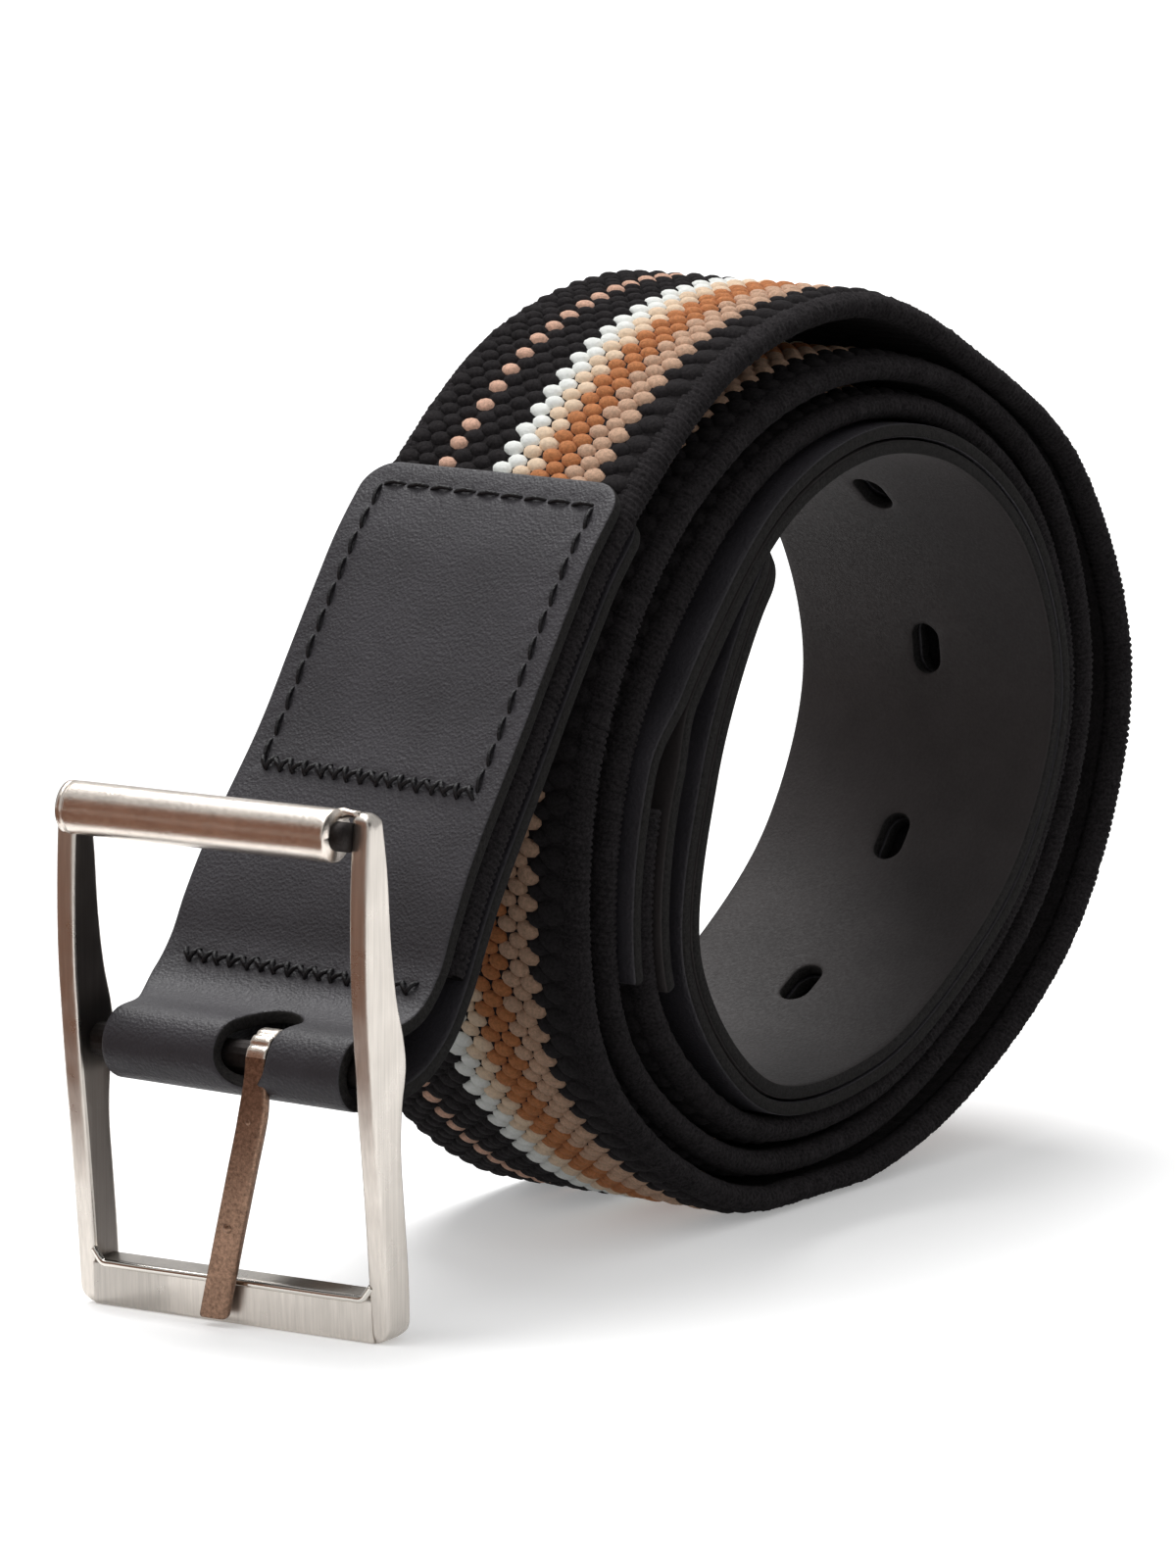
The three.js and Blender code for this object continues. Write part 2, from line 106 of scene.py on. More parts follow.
def curve_through(points, samples):
    """Centripetal Catmull-Rom curve through the points, with that many samples a span."""
    points = np.asarray(points, float)
    padded = np.vstack([2 * points[0] - points[1], points, 2 * points[-1] - points[-2]])
    share = np.arange(samples)[:, None] / samples
    spans = []
    for p0, p1, p2, p3 in zip(padded, padded[1:], padded[2:], padded[3:]):
        d0, d1, d2 = (math.sqrt(np.linalg.norm(b - a)) for a, b in ((p0, p1), (p1, p2), (p2, p3)))
        start = ((p1 - p0) / d0 - (p2 - p0) / (d0 + d1) + (p2 - p1) / d1) * d1
        finish = ((p2 - p1) / d1 - (p3 - p1) / (d1 + d2) + (p3 - p2) / d2) * d1
        square = share * share
        cube = square * share
        spans.append(
            p1 + start * share
            + (3 * (p2 - p1) - 2 * start - finish) * square
            + (2 * (p1 - p2) + start + finish) * cube
        )
    return np.vstack([*spans, points[-1:]])


def distances(points):
    return np.concatenate([[0], np.cumsum(np.linalg.norm(np.diff(points, axis=0), axis=1))])


def along_curve(points, values, places):
    """The curve's points where its running value reaches each place."""
    return np.stack([np.interp(places, values, points[:, axis]) for axis in range(points.shape[1])], -1)


def route_points():
    points = [(0.0, y, z) for y, z in TAB_RUN]
    turns = len(RESTING_HEIGHTS)
    for turn in range(turns):
        for index, row in enumerate(COIL_ROWS):
            share = index / len(COIL_ROWS)
            slide = SIDE_SLIDES[turn] * (1 - share) + SIDE_SLIDES[turn + 1] * share
            points.append(polar_point(row["direction"], row["turns"][turn], slide))
    points.extend(polar_point(row["direction"], row["radius"], SIDE_SLIDES[turns]) for row in TIP_ROWS)
    return points


def polar_point(degrees, radius, slide):
    angle = math.radians(degrees)
    return slide, COIL_CENTRE[0] + radius * math.cos(angle), COIL_CENTRE[1] + radius * math.sin(angle)


def settle(points):
    """Lifts each turn to the height at which it lies on the one below it."""
    turn = 0
    was_right = False
    settled = points.copy()
    for index, (_, y, z) in enumerate(points):
        is_right = y > COIL_CENTRE[0]
        is_above = z > COIL_CENTRE[1]
        if is_above and is_right and not was_right:
            turn += 1
        if is_above:
            was_right = is_right
        level = RESTING_HEIGHTS[min(max(turn - 1, 0), len(RESTING_HEIGHTS) - 1)]
        settled[index, 2] = max(z, level)
    return settled


def normals_of(points):
    steps = np.gradient(points, axis=0)
    lengths = np.hypot(steps[:, 1], steps[:, 2])
    return np.stack([np.zeros(len(points)), -steps[:, 2] / lengths, steps[:, 1] / lengths], -1)


class Path:
    """A smooth path in space with an outward direction, read by the distance along it."""

    def __init__(self, points, values, side=1):
        self.points = points
        self.values = values
        self.normals = side * normals_of(points)
        self.length = values[-1]

    def at(self, along):
        return along_curve(self.points, self.values, along)

    def out(self, along):
        out = along_curve(self.normals, self.values, along)
        return out / np.linalg.norm(out, axis=-1, keepdims=True)


def belt_route():
    fine = curve_through(route_points(), ROUTE_SAMPLES)
    arc = distances(fine)
    count = round(arc[-1] / STATION_STEP)
    places = np.linspace(0, arc[-1], count + 1)
    stations = settle(along_curve(fine, arc, places))
    values = np.interp(arc, places, distances(stations))
    return Path(settle(fine), values)


ROUTE = belt_route()


def twisted(points):
    """The tab turns with the buckle and hangs a little lower on the right."""
    share = 1 - smoothstep(points[:, 2], TWIST_FULL_BELOW, TWIST_ENDS_AT)
    turned = points.copy()
    turned[:, 1] += points[:, 0] * math.tan(BUCKLE_YAW) * share
    turned[:, 2] -= points[:, 0] * math.tan(FOLD_ROLL) * share
    return turned


def on_belt(along, across, out):
    """Places flat points on the rolled webbing: along it, across it and out from its middle."""
    along, across, out = np.broadcast_arrays(*(np.asarray(v, float) for v in (along, across, out)))
    points = ROUTE.at(along) + ROUTE.out(along) * out[..., None]
    points[..., 0] += across
    flat = points.reshape(-1, 3)
    on_tab = np.ravel(along) < TAB_LENGTH
    flat[on_tab] = twisted(flat[on_tab])
    return flat


# Meshes


def in_scene(name, data):
    obj = bpy.data.objects.new(name, data)
    bpy.context.scene.collection.objects.link(obj)
    return obj


def mesh_object(name, points, faces, looks, flat_places=None, face_looks=None, facing=1):
    """A smooth mesh from points in the belt's own frame, with flat places kept as its UV map."""
    mesh = bpy.data.meshes.new(name)
    placed = (np.asarray(points, float) + SHIFT) * METRES
    mesh.from_pydata(placed.tolist(), [], [list(face) for face in faces])
    mesh.polygons.foreach_set("use_smooth", np.ones(len(mesh.polygons), bool))
    for look in looks if isinstance(looks, list) else [looks]:
        mesh.materials.append(look)
    if face_looks is not None:
        mesh.polygons.foreach_set("material_index", np.asarray(face_looks, np.int32))
    if flat_places is not None:
        layer = mesh.uv_layers.new(name="strip")
        corners = np.zeros(len(mesh.loops), np.int32)
        mesh.loops.foreach_get("vertex_index", corners)
        layer.data.foreach_set("uv", np.asarray(flat_places, float)[corners].ravel())
    face_outwards(mesh, facing)
    mesh.update()
    return in_scene(name, mesh)


def face_outwards(mesh, facing):
    """Turns the faces away from the middle, or towards it where facing is -1."""
    body = bmesh.new()
    body.from_mesh(mesh)
    if body.calc_volume(signed=True) * facing < 0:
        mesh.flip_normals()
    body.free()


def grid_faces(rows, columns, closed=False):
    """Quads of a grid of points, row by row. A closed grid joins its last column to its first."""
    row = np.arange(rows - 1)[:, None] * columns
    column = np.arange(columns if closed else columns - 1)[None, :]
    after = (column + 1) % columns
    a = row + column
    b = row + after
    return np.stack([a, b, b + columns, a + columns], -1).reshape(-1, 4)


def capped_faces(rows, columns):
    """Faces of a closed grid of points and of both its ends."""
    last = (rows - 1) * columns
    ends = [list(range(columns - 1, -1, -1)), list(range(last, last + columns))]
    return grid_faces(rows, columns, True).tolist() + ends


def evenly(start, end, step):
    return np.linspace(start, end, max(round((end - start) / step), 1) + 1)


# Materials


def new_look(name, color, roughness, metallic=0.0, sheen=0.0, specular=0.5):
    look = bpy.data.materials.new(name)
    look.use_nodes = True
    shader = look.node_tree.nodes["Principled BSDF"]
    shader.inputs["Base Color"].default_value = (*color, 1)
    shader.inputs["Roughness"].default_value = roughness
    shader.inputs["Metallic"].default_value = metallic
    shader.inputs["Sheen Weight"].default_value = sheen
    shader.inputs["Specular IOR Level"].default_value = specular
    return look


def wire(look, kind, inputs=None, **settings):
    """Adds a node, with its settings and its inputs, each a socket or a constant."""
    tree = look.node_tree
    made = tree.nodes.new(kind)
    for key, value in settings.items():
        setattr(made, key, value)
    for key, value in (inputs or {}).items():
        if isinstance(value, bpy.types.NodeSocket):
            tree.links.new(value, made.inputs[key])
        else:
            made.inputs[key].default_value = value
    return made


def shade(look, **inputs):
    """Joins sockets to the shader's inputs, named with underscores for spaces."""
    shader = look.node_tree.nodes["Principled BSDF"]
    for key, socket in inputs.items():
        look.node_tree.links.new(socket, shader.inputs[key.replace("_", " ")])


def ramp(look, factor, stops):
    made = wire(look, "ShaderNodeValToRGB", {"Fac": factor})
    elements = made.color_ramp.elements
    while len(elements) < len(stops):
        elements.new(0.5)
    for element, (place, value) in zip(elements, stops):
        element.position = place
        element.color = (value, value, value, 1) if isinstance(value, (int, float)) else (*value, 1)
    return made.outputs["Color"]


def object_places(look, scale=(1, 1, 1)):
    places = wire(look, "ShaderNodeTexCoord").outputs["Object"]
    return wire(look, "ShaderNodeMapping", {"Vector": places, "Scale": scale}).outputs["Vector"]


def strip_places(look):
    return wire(look, "ShaderNodeUVMap", uv_map="strip").outputs["UV"]


def noise(look, places, scale, detail=3.0, roughness=0.55):
    values = {"Vector": places, "Scale": scale, "Detail": detail, "Roughness": roughness}
    return wire(look, "ShaderNodeTexNoise", values).outputs["Fac"]


def bump(look, height, distance, strength=1.0, normal=None):
    values = {"Height": height, "Distance": distance, "Strength": strength}
    if normal is not None:
        values["Normal"] = normal
    return wire(look, "ShaderNodeBump", values).outputs["Normal"]


def tinted(color, amount):
    return tuple(min(channel * amount, 1.0) for channel in color)


def yarn_look(name, color, spread=0.16, sheen=0.0, speckle=0.35):
    """Soft textured yarn: fine filaments, fuzz, and a little change of shade."""
    look = new_look(name, color, 0.95, sheen=sheen, specular=0.12)
    places = object_places(look)
    fuzz = noise(look, places, 2600, 5.0, 0.75)
    patches = noise(look, places, 420, 2.0)
    bands = {"Vector": strip_places(look), "Scale": 0.9, "Distortion": 4.0, "Detail": 3.0}
    filaments = wire(look, "ShaderNodeTexWave", bands, wave_type="BANDS", bands_direction="DIAGONAL")
    shades = ramp(look, patches, [(0.3, tinted(color, 1 - spread)), (0.7, tinted(color, 1 + spread))])
    dust = ramp(look, fuzz, [(0.38, tinted(color, 1 - speckle)), (0.62, tinted(color, 1 + speckle))])
    mixed = wire(look, "ShaderNodeMix", {0: 0.6, 6: shades, 7: dust}, data_type="RGBA")
    fine = bump(look, filaments.outputs["Fac"], 0.00005, 0.7)
    shade(look, Base_Color=mixed.outputs[2], Normal=bump(look, fuzz, 0.00028, 1.0, fine))
    return look


def leather_look(name, color, roughness, grain):
    look = new_look(name, color, roughness, specular=0.35)
    places = object_places(look)
    cells = wire(look, "ShaderNodeTexVoronoi", {"Vector": places, "Scale": 2700.0}, feature="F1")
    creases = noise(look, places, 2400, 4.0, 0.6)
    waves = noise(look, places, 120, 2.0)
    tone = ramp(look, waves, [(0.3, tinted(color, 0.85)), (0.7, tinted(color, 1.18))])
    gloss = ramp(look, creases, [(0.3, roughness - 0.07), (0.7, roughness + 0.1)])
    pebbles = bump(look, cells.outputs["Distance"], 0.00008 * grain, 0.7)
    wrinkles = bump(look, creases, 0.00012 * grain, 0.7, pebbles)
    normal = bump(look, waves, 0.0003, 0.3, wrinkles)
    shade(look, Base_Color=tone, Roughness=gloss, Normal=normal)
    return look


def cut_edge_look():
    color = (0.022, 0.0205, 0.02)
    look = new_look("leather_cut_edge", color, 0.95, specular=0.15)
    fibres = noise(look, object_places(look, (900, 2600, 2600)), 1.0, 5.0, 0.7)
    tone = ramp(look, fibres, [(0.3, tinted(color, 0.5)), (0.7, tinted(color, 1.5))])
    shade(look, Base_Color=tone, Normal=bump(look, fibres, 0.0003, 0.8))
    return look


def thread_look():
    look = new_look("thread", (0.006, 0.0055, 0.007), 0.5, specular=0.3)
    ply = noise(look, object_places(look), 2800, 3.0)
    shade(look, Normal=bump(look, ply, 0.0002, 0.8))
    return look


BRUSH_LINES = (3200, 3200, 90)


def brushed_look(name, color, roughness):
    """Satin metal with fine upright brush lines."""
    look = new_look(name, color, roughness, 1.0)
    lines = noise(look, object_places(look, BRUSH_LINES), 1.0, 4.0, 0.6)
    cloud = noise(look, object_places(look), 260, 3.0)
    tone = ramp(look, lines, [(0.25, tinted(color, 0.84)), (0.75, tinted(color, 1.1))])
    gloss = ramp(look, cloud, [(0.3, roughness - 0.05), (0.7, roughness + 0.08)])
    normal = bump(look, lines, 0.00003, 0.6)
    shade(look, Base_Color=tone, Roughness=gloss, Normal=bump(look, cloud, 0.00004, 0.5, normal))
    return look


def granular_look(name, color, roughness, contrast):
    """Cast metal with a sandy, speckled surface."""
    look = new_look(name, color, roughness, 1.0)
    grains = noise(look, object_places(look), 2600, 4.0, 0.75)
    clouds = noise(look, object_places(look), 300, 3.0)
    darker = tinted(color, 1 - contrast)
    speckles = ramp(look, grains, [(0.35, darker), (0.65, tinted(color, 1 + contrast))])
    patches = ramp(look, clouds, [(0.3, tinted(color, 0.8)), (0.7, tinted(color, 1.2))])
    mixed = wire(look, "ShaderNodeMix", {0: 0.4, 6: speckles, 7: patches}, data_type="RGBA")
    shade(look, Base_Color=mixed.outputs[2], Normal=bump(look, grains, 0.00005, 0.6))
    return look


BLACK_YARN = yarn_look("black_yarn", (0.021, 0.0185, 0.0195), 0.25, speckle=0.6)
EDGE_YARN = yarn_look("edge_yarn", (0.027, 0.024, 0.0255), 0.3, speckle=0.85)
PEACH_YARN = yarn_look("peach_yarn", (0.74, 0.45, 0.33), sheen=0.1)
WHITE_YARN = yarn_look("white_yarn", (0.93, 0.95, 0.9), 0.04, 0.1, 0.1)
CREAM_YARN = yarn_look("cream_yarn", (0.85, 0.65, 0.47), 0.08, 0.1, 0.18)
ORANGE_YARN = yarn_look("orange_yarn", (0.52, 0.205, 0.082), sheen=0.05)
TAN_YARN = yarn_look("tan_yarn", (0.6, 0.385, 0.265), sheen=0.08)
GRAINED = leather_look("grained_leather", (0.031, 0.0285, 0.0335), 0.5, 1.0)
SMOOTH = leather_look("smooth_leather", (0.027, 0.0225, 0.0225), 0.66, 0.45)
CUT_EDGE = cut_edge_look()
THREAD = thread_look()
NICKEL = brushed_look("brushed_nickel", (0.62, 0.575, 0.525), 0.3)
# Painted shade: a dark copy of the nickel for the rails' inner faces, standing in for the shade inside the
# frame
INNER_NICKEL_PAINTED_SHADE = brushed_look("inner_nickel_painted_shade", (0.17, 0.15, 0.135), 0.38)
ROD_METAL = granular_look("rod_nickel", (0.76, 0.69, 0.62), 0.27, 0.16)
POLISHED = new_look("polished_nickel", (0.66, 0.63, 0.58), 0.1, 1.0)
# Painted reflection: the prong's nickel is coloured dark brown, standing in for the brown surroundings it
# reflects
PRONG_PAINTED_REFLECTION = granular_look("dark_nickel", (0.235, 0.145, 0.1), 0.42, 0.7)
# Painted shade: a near black copy of the nickel for the buckle's bar and the rod's neck, which lie in shade
# in the fold and the gap
BAR_METAL_PAINTED_SHADE = granular_look("bar_nickel_painted_shade", (0.035, 0.031, 0.03), 0.6, 0.3)


# Webbing


def swept_places(places, profile):
    """(along, across, out) of a profile of (across, out) pairs that is repeated at each place."""
    profile = np.asarray(profile, float)
    count = len(places)
    return np.repeat(places, len(profile)), np.tile(profile[:, 0], count), np.tile(profile[:, 1], count)


def flat_map(along, across):
    return np.stack([np.ravel(along), np.ravel(across)], -1) * METRES


CORE_OUT = 1.0
CORE_HALF = 16.2
CORE_BEVEL = {"across": 0.5, "out": 0.4}


def webbing_core():
    """The webbing's flat middle, below the yarn and the ribs."""
    shoulder = CORE_HALF - CORE_BEVEL["across"]
    side = CORE_OUT - CORE_BEVEL["out"]
    outline = [
        (-CORE_HALF, -side), (-shoulder, -CORE_OUT), (0, -CORE_OUT), (shoulder, -CORE_OUT),
        (CORE_HALF, -side), (CORE_HALF, side), (shoulder, CORE_OUT), (0, CORE_OUT),
        (-shoulder, CORE_OUT), (-CORE_HALF, side),
    ]
    places = evenly(WEBBING_START, WEBBING_END, 1.0)
    along, across, out = swept_places(places, outline)
    points = on_belt(along, across, out)
    faces = capped_faces(len(places), len(outline))
    return mesh_object("webbing_core", points, faces, BLACK_YARN, flat_map(along, across))


YARN_PERIOD = 3.0
YARN_LEAN = -1.18
YARN_COLUMNS = [
    {"look": BLACK_YARN, "across": -15.2, "size": 1.15},
    {"look": BLACK_YARN, "across": -13.9, "size": 1.0},
    {"look": BLACK_YARN, "across": -12.5, "size": 1.0},
    {"look": BLACK_YARN, "across": -11.1, "size": 1.0},
    {"look": PEACH_YARN, "across": -9.7, "size": 0.98},
    {"look": BLACK_YARN, "across": -8.2, "size": 1.03},
    {"look": BLACK_YARN, "across": -6.7, "size": 1.03},
    {"look": BLACK_YARN, "across": -5.2, "size": 1.03},
    {"look": BLACK_YARN, "across": -3.6, "size": 1.03},
    {"look": WHITE_YARN, "across": -2.1, "size": 1.08},
    {"look": WHITE_YARN, "across": -0.7, "size": 1.0},
    {"look": CREAM_YARN, "across": 0.65, "size": 1.0},
    {"look": CREAM_YARN, "across": 2.05, "size": 1.0},
    {"look": ORANGE_YARN, "across": 3.4, "size": 1.0},
    {"look": ORANGE_YARN, "across": 4.8, "size": 1.0},
    {"look": ORANGE_YARN, "across": 6.2, "size": 1.0},
    {"look": TAN_YARN, "across": 7.55, "size": 1.0},
    {"look": TAN_YARN, "across": 8.95, "size": 1.0},
    {"look": TAN_YARN, "across": 10.35, "size": 1.14},
    {"look": BLACK_YARN, "across": 11.85, "size": 1.0},
    {"look": BLACK_YARN, "across": 13.6, "size": 1.38},
]
YARNS = {
    "knots_black": BLACK_YARN, "knots_peach": PEACH_YARN, "knots_white": WHITE_YARN,
    "knots_cream": CREAM_YARN, "knots_orange": ORANGE_YARN, "knots_tan": TAN_YARN,
}
KNOT_BASE = 0.55
KNOT_HEIGHT = 1.1
KNOT_ACROSS = {"along": 0.32, "across": 1.32}
KNOT_LEANING = {"along": -1.04, "across": 0.66}
KNOT_RINGS = [(0.42, 0.94), (0.74, 0.74), (0.94, 0.38), (1.06, -0.15)]
KNOT_SIDES = 9
KNOT_TILT = 0.14
KNOT_WOBBLE = {"size": 0.03, "along": 0.06, "across": 0.05, "height": 0.05}


def knot_template():
    """A dome of unit size: (across, leaning, height) of its top and rings, and its faces."""
    points = [(0.0, 0.0, 1.0)]
    for reach, height in KNOT_RINGS:
        for side in range(KNOT_SIDES):
            angle = 2 * math.pi * side / KNOT_SIDES
            points.append((reach * math.cos(angle), reach * math.sin(angle), height))
    faces = [(0, 1 + side, 1 + (side + 1) % KNOT_SIDES) for side in range(KNOT_SIDES)]
    for ring in range(len(KNOT_RINGS) - 1):
        for side in range(KNOT_SIDES):
            after = (side + 1) % KNOT_SIDES
            a = 1 + ring * KNOT_SIDES
            faces.append((a + side, a + KNOT_SIDES + side, a + KNOT_SIDES + after))
            faces.append((a + side, a + KNOT_SIDES + after, a + after))
    return np.array(points), np.array(faces)


def knot_places(look):
    """(along, across, size) of each knot of one yarn."""
    knots = []
    for row in YARN_COLUMNS:
        if row["look"] is look:
            first = WEBBING_START + YARN_PERIOD / 2 + (YARN_LEAN * row["across"]) % YARN_PERIOD
            places = np.arange(first, WEBBING_END - YARN_PERIOD / 2, YARN_PERIOD)
            knots.extend((place, row["across"], row["size"]) for place in places)
    return np.array(knots)


def yarn_knots(name, look):
    template, template_faces = knot_template()
    knots = knot_places(look)
    count = len(knots)
    wobble = np.random.default_rng(len(name)).normal(0, 1, (count, 1, 4))
    size = knots[:, 2][:, None] * (1 + KNOT_WOBBLE["size"] * wobble[..., 0])
    beside = template[None, :, 0] * size
    leaning = template[None, :, 1] * size
    along = knots[:, 0, None] + KNOT_ACROSS["along"] * beside + KNOT_LEANING["along"] * leaning
    along = along + KNOT_WOBBLE["along"] * wobble[..., 1]
    across = knots[:, 1, None] + KNOT_ACROSS["across"] * beside + KNOT_LEANING["across"] * leaning
    across = across + KNOT_WOBBLE["across"] * wobble[..., 2]
    level = template[None, :, 2] + KNOT_TILT * template[None, :, 1]
    out = KNOT_BASE + level * KNOT_HEIGHT * (1 + KNOT_WOBBLE["height"] * wobble[..., 3])
    points = on_belt(along, across, out)
    faces = (template_faces[None] + np.arange(count)[:, None, None] * len(template)).reshape(-1, 3)
    places = np.tile(template[:, :2], (count, 1)) * METRES
    return mesh_object(name, points, faces, look, places)


SELVAGE_RIB = {
    "pitch": 0.77, "depth": 0.3, "lean": 0.25, "low": 0.55, "uneven": 0.35, "every": 3, "seed": 5,
}
SELVAGE_MIDDLE = (15.9, -0.25)
SELVAGE_PROFILE = [
    (14.4, 0.75), (15.1, 1.05), (15.9, 1.12), (16.6, 0.92), (17.15, 0.55), (17.5, 0.0),
    (17.55, -0.5), (17.35, -1.0), (16.9, -1.4), (16.2, -1.62), (15.4, -1.6), (14.5, -1.2),
]


def selvage(name, sign):
    """The belt's rounded edge, wound with fine crosswise threads."""
    rib = SELVAGE_RIB
    corners = len(SELVAGE_PROFILE)
    places = evenly(WEBBING_START, WEBBING_END, rib["pitch"] / 4)
    along, across, out = swept_places(places, SELVAGE_PROFILE)
    draws = np.random.default_rng(rib["seed"])
    coarse = places[::rib["every"]]
    heights = 1 + rib["uneven"] * draws.normal(0, 1, len(coarse))
    uneven = np.interp(places, coarse, heights).repeat(corners)
    wave = np.abs(np.cos(math.pi * (along + rib["lean"] * across) / rib["pitch"])) - rib["low"]
    swell = rib["depth"] * uneven * wave
    reach = np.hypot(across - SELVAGE_MIDDLE[0], out - SELVAGE_MIDDLE[1])
    across = across + swell * (across - SELVAGE_MIDDLE[0]) / reach
    out = out + swell * (out - SELVAGE_MIDDLE[1]) / reach
    points = on_belt(along, sign * across, out)
    faces = grid_faces(len(places), corners, True)
    return mesh_object(name, points, faces, EDGE_YARN, flat_map(along, across))


INNER_RIB = {"pitch": 2.2, "depth": 0.25, "out": -1.25, "half_width": 14.6, "columns": 15}


def inner_ribs():
    """The webbing's inner face, in crosswise ribs."""
    rib = INNER_RIB
    places = evenly(WEBBING_START, WEBBING_END, rib["pitch"] / 5)
    across = np.linspace(-rib["half_width"], rib["half_width"], rib["columns"])
    along, width = np.meshgrid(places, across, indexing="ij")
    out = rib["out"] - rib["depth"] * np.abs(np.cos(math.pi * along / rib["pitch"]))
    points = on_belt(along, width, out)
    faces = grid_faces(len(places), len(across))
    flat_places = flat_map(along, width)
    return mesh_object("webbing_inner_ribs", points, faces, BLACK_YARN, flat_places, facing=-1)


# Leather sheets


def inside(points, loop):
    """Which flat points lie inside a closed loop."""
    x, y = points[:, 0][:, None], points[:, 1][:, None]
    ax, ay = loop[:, 0][None], loop[:, 1][None]
    bx, by = np.roll(loop[:, 0], -1)[None], np.roll(loop[:, 1], -1)[None]
    crosses = (ay > y) != (by > y)
    with np.errstate(divide="ignore", invalid="ignore"):
        at = ax + (y - ay) * (bx - ax) / (by - ay)
    return (crosses & (x < at)).sum(1) % 2 == 1


def inset(loop, amount):
    """A loop moved to its left by an amount. Loops run with the leather on their left."""
    step = np.roll(loop, -1, 0) - np.roll(loop, 1, 0)
    step /= np.linalg.norm(step, axis=1, keepdims=True)
    return loop + np.stack([-step[:, 1], step[:, 0]], -1) * amount


# Rounded edges of sheets, as (how far in, side), with 1 and -1 the two faces
LEATHER_EDGE = [(0.4, 1.0), (0.12, 0.88), (0.0, 0.6), (0.0, -0.6), (0.12, -0.88), (0.4, -1.0)]
RAIL_EDGE = [
    (0.55, 1.0), (0.28, 0.95), (0.1, 0.84), (0.02, 0.66), (0.0, 0.4),
    (0.0, -0.4), (0.02, -0.66), (0.1, -0.84), (0.28, -0.95), (0.55, -1.0),
]


def sheet_mesh(outline, holes, spacing, edge):
    """Flat sheet with rounded edges: (along, across, side) points, faces, and which are edges."""
    points = []
    faces = []
    rings = []
    for loop in (outline, *holes):
        starts = []
        for amount, side in edge:
            starts.append(len(points))
            points.extend((x, y, side) for x, y in inset(loop, amount))
        faces.extend(ring_faces(starts, len(loop)))
        rings.append((starts, len(loop)))
    edge_faces = len(faces)
    filling = sheet_filling(outline, holes, spacing, edge[0][0])
    for ring_index, side in ((0, 1.0), (len(edge) - 1, -1.0)):
        own = []
        edges = []
        for starts, count in rings:
            begin = len(own)
            own.extend(range(starts[ring_index], starts[ring_index] + count))
            edges.extend((begin + index, begin + (index + 1) % count) for index in range(count))
        own.extend(range(len(points), len(points) + len(filling)))
        points.extend((x, y, side) for x, y in filling)
        flat = np.array([points[index][:2] for index in own])
        for triangle in sheet_triangles(flat, edges, outline, holes, edge[0][0]):
            a, b, c = (own[corner] for corner in triangle)
            faces.append((a, b, c) if side > 0 else (a, c, b))
    return np.array(points), faces, np.arange(len(faces)) < edge_faces


def ring_faces(starts, count):
    return [
        (first + index, second + index, second + (index + 1) % count, first + (index + 1) % count)
        for first, second in zip(starts, starts[1:])
        for index in range(count)
    ]


def sheet_filling(outline, holes, spacing, edge_inset):
    low = outline.min(0)
    high = outline.max(0)
    columns = np.arange(low[0] + spacing, high[0], spacing)
    rows = np.linspace(low[1], high[1], max(int((high[1] - low[1]) / spacing), 2))[1:-1]
    filling = np.stack(np.meshgrid(columns, rows), -1).reshape(-1, 2)
    return filling[in_sheet(filling, outline, holes, edge_inset + spacing * 0.5)]


def in_sheet(places, outline, holes, amount):
    kept = inside(places, inset(outline, amount))
    for hole in holes:
        kept &= ~inside(places, inset(hole, amount))
    return kept


def sheet_triangles(flat, edges, outline, holes, edge_inset):
    corners = [Vector(place) for place in flat.tolist()]
    _, _, triangles, origins, _, _ = delaunay_2d_cdt(corners, edges, [], 0, 1e-6)
    original = np.array([origin[0] for origin in origins])
    triangles = original[np.array(triangles)]
    middles = flat[triangles].mean(1)
    return triangles[in_sheet(middles, outline, holes, edge_inset)]


def evenly_round(points, spacing):
    """Evenly spaced points on a closed outline."""
    closed = np.vstack([points, points[:1]])
    values = distances(closed)
    places = np.linspace(0, values[-1], max(round(values[-1] / spacing), 8) + 1)[:-1]
    return along_curve(closed, values, places)


OUTLINE_SPACING = 0.6
CORNER_SHARES = np.array([0.01, 0.04, 0.1, 0.18, 0.3])


def rounded_strip_outline(length, half_width, radius):
    """Counter-clockwise outline of a strip whose half width depends on the place along it."""
    corner = radius * CORNER_SHARES
    places = np.unique(np.concatenate([evenly(0, length, OUTLINE_SPACING), corner, length - corner]))
    half = half_width(places)
    lower = np.stack([places, -half], -1)
    upper = np.stack([places, half], -1)[::-1]
    return evenly_round(np.vstack([lower, upper]), OUTLINE_SPACING)


def corner_cut(left, radius):
    """How far a rounded corner of that radius takes the edge in, at a distance from the end."""
    reach = radius - np.clip(left, 0, radius)
    return radius - np.sqrt(np.maximum(radius * radius - reach * reach, 0))


FOLD_WIDTH = 30.6
FOLD_SHIFT = 1.2
FOLD_REACH = 2.5 + LEATHER / 2
NECK_WIDENS = (5, 16)
NECK_FRONT = [(-55.6, 34.5), (-60.2, 33.0)]
NECK_BACK = [(-60.2, 26.2), (-55.2, 27.7), (-50.6, 30.9)]
TAB_CORNER = 4.0
TAB_SAMPLES = 24
FOLD_STATIONS = 9
SLOT_SEARCH = 40
SLOT = {"width": 6.6, "across": 3.7, "top_end": -59.4, "bottom_end": -57.0}


